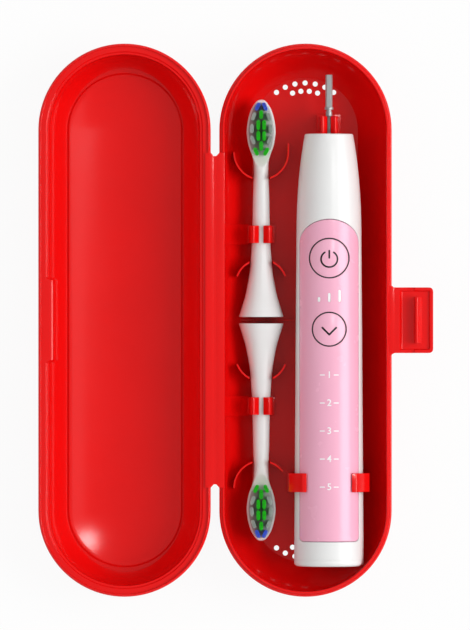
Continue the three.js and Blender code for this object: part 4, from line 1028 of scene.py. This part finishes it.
# Radius and distance from the foot of the bore and the recess, and of the foot's rounded edge
FOOT_EDGE = FOOT_RADIUS * 0.985
HEAD_BORE = [
    (3.5, 15.6), (3.5, 2.5), (7.1, 2.5), (7.2, 2.4), (7.2, 0.15), (7.35, 0), (FOOT_EDGE - 0.25, 0),
    (FOOT_EDGE - 0.07, 0.07)]
PLATE_SHARES = (0.768, 0.985)
PLATE_STEPS = 40
PLATE_MARGIN = 0.75
PLATE_LEAST = 0.2
PLATE_CORNER = 0.3
PLATE_CORNER_STEPS = 2
PLATE_LOW = 0.6
PLATE_HIGH = FACE_HEIGHT + 0.25
PLATE_ROUND = 0.1
BRISTLE_LENGTH = 8.6
BRISTLE_PLATE = 0.9
BRISTLE_SUNK = 0.3
BRISTLE_UNEVEN = 0.25
BRISTLE_SWAY = 0.03
TUFT_FAN = {"grey": 0.06, "green": 0.04, "blue": 0.04}
# Each row: across and along the bristle field, length, lean in degrees, and colour
TUFT_TABLE = [
    (0, 0.248, 0.137, 0, "green"), (0, 0.747, 0.148, 0, "green"),
    (0.25, 0.122, 0.13, 26, "blue"), (0.2, 0.414, 0.152, 0, "green"), (0.2, 0.587, 0.152, 0, "green"),
    (0.346, 0.835, 0.13, -27, "green"), (0.527, 0.278, 0.13, 22, "grey"), (0.645, 0.472, 0.138, 2, "grey"),
    (0.58, 0.65, 0.14, -22, "grey")]
TUFT_FIELD = HEAD_LENGTH * 0.2896
TUFT_HALF = FOOT_RADIUS * 0.648
TUFT_WIDTH = 1.3
TUFT_SHARP = 60
TUFT_SEED = 4
STRAND_RADIUS = 0.108
STRAND_PITCH = 0.215
STRAND_SIDES = 5
ROW_SHARE = 0.866
# Share of a strand's length, and of its radius
STRAND_ROWS = ((0, 1), (0.96, 1), (0.99, 0.9), (1, 0.6))


def smooth_table(table, place):
    """A value between the rows of a table, along a smooth curve that doesn't overshoot."""
    if place <= table[0][0]:
        return table[0][1]
    slopes = [(high[1] - low[1]) / (high[0] - low[0]) for low, high in zip(table, table[1:])]
    i = next((i for i in range(len(slopes)) if place <= table[i + 1][0]), len(slopes) - 1)

    def corner_slope(j):
        if j == 0 or j == len(slopes):
            return slopes[i]
        before = slopes[j - 1]
        after = slopes[j]
        return 0 if before * after <= 0 else 2 * before * after / (before + after)

    x0, y0 = table[i]
    x1, y1 = table[i + 1]
    width = x1 - x0
    t = (place - x0) / width
    return ((2 * t ** 3 - 3 * t * t + 1) * y0 + (t ** 3 - 2 * t * t + t) * width * corner_slope(i)
            + (3 * t * t - 2 * t ** 3) * y1 + (t ** 3 - t * t) * width * corner_slope(i + 1))


def soft_limit(value, limit):
    """The smaller of two values, with a rounded corner between them."""
    if value > limit + FACE_SOFT_REACH:
        return limit
    return -FACE_SOFTNESS * math.log(math.exp(-value / FACE_SOFTNESS) + math.exp(-limit / FACE_SOFTNESS))


def head_ring(share):
    """A ring of a head: round at its neck, flatter with a level face at its bristles."""
    width = smooth_table(WIDTH_TABLE, share) * FOOT_RADIUS
    height = width if share < NECK_SHARE else smooth_table(HEIGHT_TABLE, share)
    power = 2 + (FLAT_POWER - 2) * min(max((share - FLAT_START) / FLAT_SPAN, 0), 1)
    slope = min(max((FACE_SHARE - share) / FACE_SLOPE, 0), 1)
    limit = FACE_HEIGHT + FACE_DROP * slope ** 2 * (3 - 2 * slope)
    ring = []
    for across, up in circle(0, 0, 1, HEAD_SIDES):
        x = width * math.copysign(abs(across) ** (2 / power), across)
        z = height * math.copysign(abs(up) ** (2 / power), up)
        if share > FACE_SHARE - FACE_SLOPE and z > 0:
            z = min(z, max(soft_limit(z, limit), 0))
        ring.append((HEAD_X + x, HEAD_FOOT_Y + share * HEAD_LENGTH, HEAD_Z + z))
    return ring


def facing(thing, end):
    """Turns a lower head's piece end for end about the heads' common middle."""
    if end < 0:
        middle = Vector((HEAD_X, 0, 0)) * MM
        turn = Matrix.Rotation(math.pi, 4, "Z")
        thing.data.transform(Matrix.Translation(middle) @ turn @ Matrix.Translation(-middle))
    return thing


def make_head(name, end):
    """A brush head with the recess in its foot and the bore for its coupling."""
    rings = [[(a, HEAD_FOOT_Y + y, b) for a, b in circle(HEAD_X, HEAD_Z, radius, HEAD_SIDES)]
             for radius, y in HEAD_BORE]
    rings += [head_ring(share) for share in RING_SHARES]
    return merged(name, [loft_data([[(x, end * y, z) for x, y, z in ring] for ring in rings])])


def make_bristle_plate(name, end):
    """The thin insert that the tufts stand in."""
    right = []
    for share in even(*PLATE_SHARES, PLATE_STEPS):
        half = max(smooth_table(WIDTH_TABLE, share) * FOOT_RADIUS - PLATE_MARGIN, PLATE_LEAST)
        right.append((half, HEAD_FOOT_Y + share * HEAD_LENGTH))
    corners = [(HEAD_X + x, y) for x, y in right + mirrored(right)]
    outline = rounded_outline(corners, PLATE_CORNER, PLATE_CORNER_STEPS)
    plate = merged(name, [upright_prism(outline, HEAD_Z + PLATE_LOW, HEAD_Z + PLATE_HIGH, PLATE_ROUND)])
    return facing(plate, end)


def tuft_spots(length):
    """Places of strands that fill a pill shape, in closely packed rows."""
    radius = TUFT_WIDTH / 2
    spots = []
    row = 0
    along = -length / 2
    while along <= length / 2:
        across = -radius + (STRAND_PITCH / 2 if row % 2 else 0)
        while across <= radius:
            if math.hypot(across, max(abs(along) - (length / 2 - radius), 0)) <= radius:
                spots.append((across, along))
            across += STRAND_PITCH
        along += STRAND_PITCH * ROW_SHARE
        row += 1
    return spots


def strand_data(x, y, high, lean_x, lean_y):
    low = HEAD_Z + FACE_HEIGHT - BRISTLE_SUNK
    rings = []
    for share, size in STRAND_ROWS:
        spots = circle(x + lean_x * share, y + lean_y * share, STRAND_RADIUS * size, STRAND_SIDES, x)
        rings.append([(a, b, low + (high - low) * share) for a, b in spots])
    return loft_data(rings)


def make_tufts(name, colour, end, chance):
    """All the tufts of one colour on one head."""
    parts = []
    high = HEAD_Z + FACE_HEIGHT + BRISTLE_PLATE + BRISTLE_LENGTH
    fan = TUFT_FAN[colour]
    for across, along, length, lean, tuft_colour in TUFT_TABLE:
        if tuft_colour != colour:
            continue
        for side in ((1, -1) if across else (1,)):
            angle = math.radians(lean * -side)
            middle_x = HEAD_X + side * across * TUFT_HALF
            middle_y = HEAD_FOOT_Y + HEAD_LENGTH - along * TUFT_FIELD
            for a, b in tuft_spots(length * TUFT_FIELD):
                x = middle_x + a * math.cos(angle) + b * math.sin(angle)
                y = middle_y + b * math.cos(angle) - a * math.sin(angle)
                lean_x = fan * a + chance.uniform(-BRISTLE_SWAY, BRISTLE_SWAY)
                lean_y = fan * b + chance.uniform(-BRISTLE_SWAY, BRISTLE_SWAY)
                parts.append(strand_data(x, y, high - chance.uniform(0, BRISTLE_UNEVEN), lean_x, lean_y))
    return facing(merged(name, parts, TUFT_SHARP), end)


# Materials

NOISE_LOW = 0.3
NOISE_HIGH = 0.7
NOISE_DETAIL = 2.0
PLASTIC_DRIFT = (35, 3.0)
PLASTIC_GLOSS = (160, 3.0, 0.94, 1.06)
PLASTIC_GRAIN = 900
PLASTIC_BUMP = (0.25, 0.000005)
METAL_MARKS = 2500
METAL_GLOSS = (0.8, 1.25)
METAL_BUMP = (0.2, 0.00001)
# Colour, second colour, roughness and size of the grain
PLASTICS = {
    "case_red": ((0.80, 0.003, 0.003), (0.77, 0.003, 0.003), 0.165),
    "handle_white": ((0.80, 0.80, 0.79), (0.77, 0.77, 0.765), 0.33),
    "panel_pink": ((0.86, 0.42, 0.56), (0.855, 0.413, 0.556), 0.26),
    "button_pink": ((0.87, 0.44, 0.58), (0.865, 0.434, 0.576), 0.24),
    "head_white": ((0.80, 0.80, 0.79), (0.77, 0.77, 0.765), 0.30),
    "plate_grey": ((0.42, 0.43, 0.43), (0.38, 0.39, 0.39), 0.4),
    # Near black, for the bands in the gaps round the panel and the keys: painted shade for those gaps
    "gap_shade_dark": ((0.03, 0.028, 0.03), (0.024, 0.022, 0.024), 0.6),
    "print_black": ((0.008, 0.008, 0.009), (0.012, 0.012, 0.013), 0.45),
    "print_white": ((0.90, 0.88, 0.88), (0.87, 0.86, 0.86), 0.4),
    "bar_white": ((0.92, 0.92, 0.92), (0.9, 0.9, 0.9), 0.25),
    "bristle_blue": ((0.09, 0.19, 1.0), (0.11, 0.22, 1.0), 0.35, 3000),
    "bristle_green": ((0.02, 0.80, 0.01), (0.03, 0.84, 0.02), 0.35, 3000),
    "bristle_grey": ((0.56, 0.64, 0.58), (0.61, 0.69, 0.63), 0.35, 3000),
    "seal_rubber": ((0.02, 0.02, 0.022), (0.03, 0.03, 0.032), 0.7),
    "inner_plastic": ((0.18, 0.18, 0.19), (0.15, 0.15, 0.16), 0.5),
    "board": ((0.01, 0.12, 0.04), (0.012, 0.15, 0.05), 0.45, 1500),
    "light_guide": ((0.85, 0.85, 0.85), (0.8, 0.8, 0.8), 0.2),
    "battery_wrap": ((0.02, 0.1, 0.3), (0.025, 0.12, 0.34), 0.35),
    "ferrite": ((0.03, 0.03, 0.03), (0.05, 0.048, 0.046), 0.65, 1200),
}
# Colour, second colour, roughness, how its marks are stretched, and how metallic it is
METALS = {
    "shaft_steel": ((0.46, 0.48, 0.48), (0.42, 0.44, 0.44), 0.38, (1, 0.1, 1), 0.5),
    "drive_metal": ((0.42, 0.42, 0.43), (0.36, 0.36, 0.37), 0.45),
    "nickel": ((0.6, 0.58, 0.54), (0.55, 0.53, 0.5), 0.3),
    "copper": ((0.8, 0.35, 0.18), (0.72, 0.3, 0.14), 0.35, (1, 8, 1)),
}
SLOT_LOOKS = {
    "case_plastic": "case_red", "handle_plastic": "handle_white", "panel_grip": "panel_pink",
    "head_plastic": "head_white", "bristle": "bristle_grey"}


def add_node(tree, kind, output, sockets):
    """One output of a new shader node with the given inputs."""
    node = tree.nodes.new("ShaderNode" + kind)
    wire(tree, node, sockets)
    return node.outputs[output]


def wire(tree, node, sockets):
    """Sets a node's inputs to values, or links them to outputs."""
    for socket, source in sockets.items():
        if isinstance(source, bpy.types.NodeSocket):
            tree.links.new(source, node.inputs[socket])
        else:
            node.inputs[socket].default_value = source


def noise(tree, scale, detail=NOISE_DETAIL, stretch=None):
    """A noise that lies still in the object, with a size in features per metre."""
    place = add_node(tree, "TexCoord", "Object", {})
    if stretch:
        place = add_node(tree, "Mapping", "Vector", {"Vector": place, "Scale": stretch})
    return add_node(tree, "TexNoise", "Fac", {"Vector": place, "Scale": scale, "Detail": detail})


def spread(tree, source, low, high):
    """Maps a noise to a range of values."""
    return add_node(tree, "MapRange", "Result", {
        "Value": source, "From Min": NOISE_LOW, "From Max": NOISE_HIGH, "To Min": low, "To Max": high})


def textured(name, base, other, roughness, drift, gloss, grain, relief):
    """A material between two colours, with uneven gloss and a fine relief.

    drift, gloss and grain start with the sizes of a noise. gloss ends with its least and most share.
    """
    material = bpy.data.materials.new(name)
    material.use_nodes = True
    tree = material.node_tree
    mix = tree.nodes.new("ShaderNodeMix")
    mix.data_type = "RGBA"
    wire(tree, mix, {"A": (*base, 1), "B": (*other, 1), "Factor": spread(tree, noise(tree, *drift), 0, 1)})
    *sizes, least, most = gloss
    strength, depth = relief
    wire(tree, tree.nodes["Principled BSDF"], {
        "Base Color": mix.outputs["Result"],
        "Roughness": spread(tree, noise(tree, *sizes), roughness * least, roughness * most),
        "Normal": add_node(tree, "Bump", "Normal", {
            "Strength": strength, "Distance": depth, "Height": noise(tree, *grain)}),
    })
    return material


def moulded_plastic(name, base, other, roughness, grain=PLASTIC_GRAIN):
    """Plastic with faint colour drift, uneven gloss and a fine moulded grain."""
    return textured(name, base, other, roughness, PLASTIC_DRIFT, PLASTIC_GLOSS, (grain,), PLASTIC_BUMP)


def brushed_metal(name, base, other, roughness, stretch=None, metallic=1.0):
    """Metal with fine marks, drawn out along one axis where it is stretched."""
    marks = (METAL_MARKS, NOISE_DETAIL, stretch)
    metal = textured(name, base, other, roughness, marks, marks + METAL_GLOSS, marks, METAL_BUMP)
    metal.node_tree.nodes["Principled BSDF"].inputs["Metallic"].default_value = metallic
    return metal


LOOKS = {name: moulded_plastic(name, *row) for name, row in PLASTICS.items()}
LOOKS.update({name: brushed_metal(name, *row) for name, row in METALS.items()})


def dress(thing, look):
    thing.data.materials.clear()
    thing.data.materials.append(LOOKS[look])


def place_piece(thing, body, look, slot, *nodes):
    """Gives a piece its look, the body it moves with, and the CAD nodes it stands for."""
    dress(thing, look)
    if nodes:
        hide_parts(*nodes)
    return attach(thing, body)


# The pieces in place

def build_case():
    things = [
        make_base_shell(), make_lid_shell(), *make_flanges(), *make_ribs(), make_clip_pads(),
        make_clip("upper_neck_clip", HEAD_X, HEAD_Z, HEAD_CLIP_Y, NECK_CLIP),
        make_clip("lower_neck_clip", HEAD_X, HEAD_Z, -HEAD_CLIP_Y, NECK_CLIP),
        make_clip("shaft_holder", HANDLE_X, HANDLE_Z, SHAFT_CLIP_Y, SHAFT_CLIP),
        make_arm("left_handle_arm", -1), make_arm("right_handle_arm", 1), *make_latch()]
    rows = [
        ("base", "base_shell"), ("lid", "lid_shell"),
        ("base",), ("lid",), ("base",), ("base",), ("base",), ("base",),
        ("base", "upper_head_clip"), ("base", "lower_head_clip"), ("base", "shaft_clip"),
        ("base", "handle_clip_left"), ("base", "handle_clip_right"), ("latch", "latch_flap"), ("latch",)]
    for thing, (body, *nodes) in zip(things, rows):
        place_piece(thing, body, "case_red", "case_plastic", *nodes)
    films = [
        ("lid_hinge_strip", HINGE_X, HINGE_HALF - HINGE_NOTCH, "lid", "lid_hinge_film", -1),
        ("latch_hinge_strip", LATCH_X, FLAP_HALF, "latch", "latch_hinge_film", 1),
    ]
    for name, x, half, body, node, sign in films:
        strip = make_film(name, x, half)
        dress(strip, "case_red")
        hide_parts(node)
        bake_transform(strip)


def build_handle():
    place_piece(make_handle_shell(), "handle", "handle_white", "handle_plastic", "handle_shell")
    place_piece(make_bottom_cap(), "handle", "handle_white", "handle_plastic", "bottom_cap")
    place_piece(make_panel(), "handle", "panel_pink", "panel_grip", "front_panel")
    # A dark band under the gap round the panel: painted shade for that gap, though it keeps the seal slot
    gap_shade = merged("panel_gap_shade", [draped_band_data(panel_outline(), PANEL_SPINE, PANEL_GAP_SHADE)])
    place_piece(gap_shade, "handle", "gap_shade_dark", "seal_rubber")
    extras = [("power_button", make_power_symbol), ("mode_button", make_mode_symbol)]
    for (body, y, radius), (node, make_symbol) in zip(KEYS, extras):
        place_piece(make_key(body + "_cap", y, radius), body, "button_pink", "panel_grip", node)
        place_piece(make_symbol(), body, "print_black", "panel_grip")
        outline = circle(0, y, radius, KEY_SIDES)
        # A dark ring in the gap round the key: painted shade for that gap, though it keeps the seal slot
        ring = merged(body + "_gap_shade", [draped_band_data(outline, (0.0, y, y), KEY_GAP_SHADE, upright=True)])
        place_piece(ring, "handle", "gap_shade_dark", "seal_rubber")
    strip_box = box_outline(HANDLE_X - LIGHT_STRIP_HALF, HANDLE_X + LIGHT_STRIP_HALF, *LIGHT_STRIP_YS)
    strip = upright_prism(strip_box, *[HANDLE_Z + height for height in LIGHT_STRIP], TUBE_ROUND)
    bars = merged("level_bars", bars_data(0, BAR_SIDE) + [strip])
    place_piece(bars, "handle", "bar_white", "light_guide", "level_light_guide")
    place_piece(make_marks(), "handle", "print_white", "panel_grip")
    place_piece(make_shaft(), "drive", "shaft_steel", "shaft_steel", "drive_shaft")


def build_heads():
    chance = random.Random(TUFT_SEED)
    for end, side in ((1, "upper"), (-1, "lower")):
        body = side + "_brush"
        place_piece(make_head(side + "_head_body", end), body, "head_white", "head_plastic", side + "_head")
        plate = make_bristle_plate(side + "_bristle_plate", end)
        place_piece(plate, body, "plate_grey", "head_plastic", side + "_bristles")
        for colour in ("blue", "green", "grey"):
            tufts = make_tufts(f"{side}_{colour}_tufts", colour, end, chance)
            place_piece(tufts, body, "bristle_" + colour, "bristle")


def dress_nodes():
    """The CAD nodes that stay get the material of their slot."""
    slots = {row["node"]: row["material_slot"] for row in frame["record"]["subparts"]}
    for node, thing in frame["nodes"].items():
        dress(thing, SLOT_LOOKS.get(slots[node], slots[node]))


# Floor, light and camera

WHITE = (1, 1, 1, 1)
FLOOR_REACH = 4.0
FLOOR_Z = -0.0005
FLOOR_GREY = (0.8, 0.8, 0.8, 1)
FLOOR_ROUGHNESS = 0.9
FLOOR_GLOW_SHARE = 0.93
WORLD_FILL = 0.6
# Lamps that light the object but don't show in its gloss: name, place, size in metres, and power
PLAIN_LAMPS = [("key", (1.5, 0.05, 1.25), (1.3, 1.25), 28), ("left_fill", (-1.5, 0, 1.1), (1.0, 1.5), 3.6)]
# Lamps that show only in the object's gloss: name, shape, place, aim, size in metres, and power
GLOSS_LAMPS = [
    ("overhead", "RECTANGLE", (-0.1, 0, 2.2), (-0.1, 0, 0), (2.4, 2.6), 3.9),
    ("side_box", "RECTANGLE", (1.2, 0, 2.2), (0, 0, 0), (2.0, 0.8), 2.4),
    ("panel_light", "RECTANGLE", (1.61, 0.05, 1.05), (0, 0, 0), (1.3, 1.17), 19),
    ("glint", "ELLIPSE", (0.503, 0.377, 1.6), (-0.085, -0.085, 0), (0.3, 0.3), 3.6),
    ("far_end", "RECTANGLE", (0, 2.0, 0.55), (0, 0, 0), (2.0, 0.8), 0.7),
    ("near_end", "RECTANGLE", (0, -2.0, 0.55), (0, 0, 0), (2.0, 0.8), 0.7),
]
LENS = 500.0
SENSOR = 36.0
CLIP_END = 20
# The photo's size in pixels, the pixel of the frame's origin, and the scale at the rim's height
PHOTO_WIDTH = 470
PHOTO_HEIGHT = 630
ORIGIN_PIXEL = (305.5, 320.2)
PIXELS_PER_MM = 2.5735


def calculated(tree, operation, first, second):
    """A node's output that works out one value from two."""
    node = tree.nodes.new("ShaderNodeMath")
    node.operation = operation
    wire(tree, node, {0: first, 1: second})
    return node.outputs["Value"]


def build_floor():
    """A white floor that keeps the object's shadow."""
    mesh = bpy.data.meshes.new("floor")
    corners = box_outline(-FLOOR_REACH, FLOOR_REACH, -FLOOR_REACH, FLOOR_REACH)
    mesh.from_pydata([(x, y, FLOOR_Z) for x, y in corners], [], [(0, 1, 2, 3)])
    material = bpy.data.materials.new("floor_white")
    material.use_nodes = True
    tree = material.node_tree
    shader = tree.nodes["Principled BSDF"]
    wire(tree, shader, {"Base Color": FLOOR_GREY, "Roughness": FLOOR_ROUGHNESS})
    rays = tree.nodes.new("ShaderNodeLightPath").outputs
    seen = calculated(tree, "MAXIMUM", rays["Is Camera Ray"], rays["Is Glossy Ray"])
    seen = calculated(tree, "MAXIMUM", seen, rays["Is Transmission Ray"])
    surface = add_node(tree, "MixShader", "Shader", {
        "Fac": calculated(tree, "MULTIPLY", seen, FLOOR_GLOW_SHARE),
        1: shader.outputs["BSDF"], 2: add_node(tree, "Emission", "Emission", {})})
    wire(tree, tree.nodes["Material Output"], {"Surface": surface})
    mesh.materials.append(material)
    linked(bpy.data.objects.new("floor", mesh))


def add_lamp(name, shape, place, aim, size, power):
    lamp = bpy.data.lights.new(name, "AREA")
    lamp.shape = shape
    lamp.size = size[0]
    lamp.size_y = size[1]
    lamp.energy = power
    thing = linked(bpy.data.objects.new(name, lamp))
    thing.location = place
    thing.rotation_euler = (Vector(aim) - Vector(place)).to_track_quat("-Z", "Y").to_euler()
    return thing


def build_light():
    """The world, seen white by the camera only, and the lamps."""
    world = bpy.data.worlds.new("studio")
    bpy.context.scene.world = world
    world.use_nodes = True
    world.cycles_visibility.glossy = False
    tree = world.node_tree
    fill = tree.nodes["Background"]
    wire(tree, fill, {"Color": WHITE, "Strength": WORLD_FILL})
    surface = add_node(tree, "MixShader", "Shader", {
        "Fac": add_node(tree, "LightPath", "Is Camera Ray", {}), 1: fill.outputs["Background"],
        2: add_node(tree, "Background", "Background", {"Color": WHITE})})
    wire(tree, tree.nodes["World Output"], {"Surface": surface})
    for name, place, size, power in PLAIN_LAMPS:
        add_lamp(name, "RECTANGLE", place, (0, 0, 0), size, power).visible_glossy = False
    for row in GLOSS_LAMPS:
        lamp = add_lamp(*row)
        lamp.visible_diffuse = False
        lamp.visible_camera = False


def build_camera():
    """A long lens straight above the case, framed as the photo is."""
    camera = bpy.data.cameras.new("camera")
    camera.lens = LENS
    camera.sensor_width = SENSOR
    camera.clip_end = CLIP_END
    thing = linked(bpy.data.objects.new("camera", camera))
    x = (PHOTO_WIDTH / 2 - ORIGIN_PIXEL[0]) / PIXELS_PER_MM
    y = (ORIGIN_PIXEL[1] - PHOTO_HEIGHT / 2) / PIXELS_PER_MM
    distance = LENS * PHOTO_HEIGHT / PIXELS_PER_MM / SENSOR
    thing.location = Vector((x, y, RIM_Z + distance)) * MM
    bpy.context.scene.camera = thing


build_case()
build_handle()
build_heads()
dress_nodes()
build_floor()
build_light()
build_camera()
bpy.context.scene.view_settings.view_transform = "Standard"
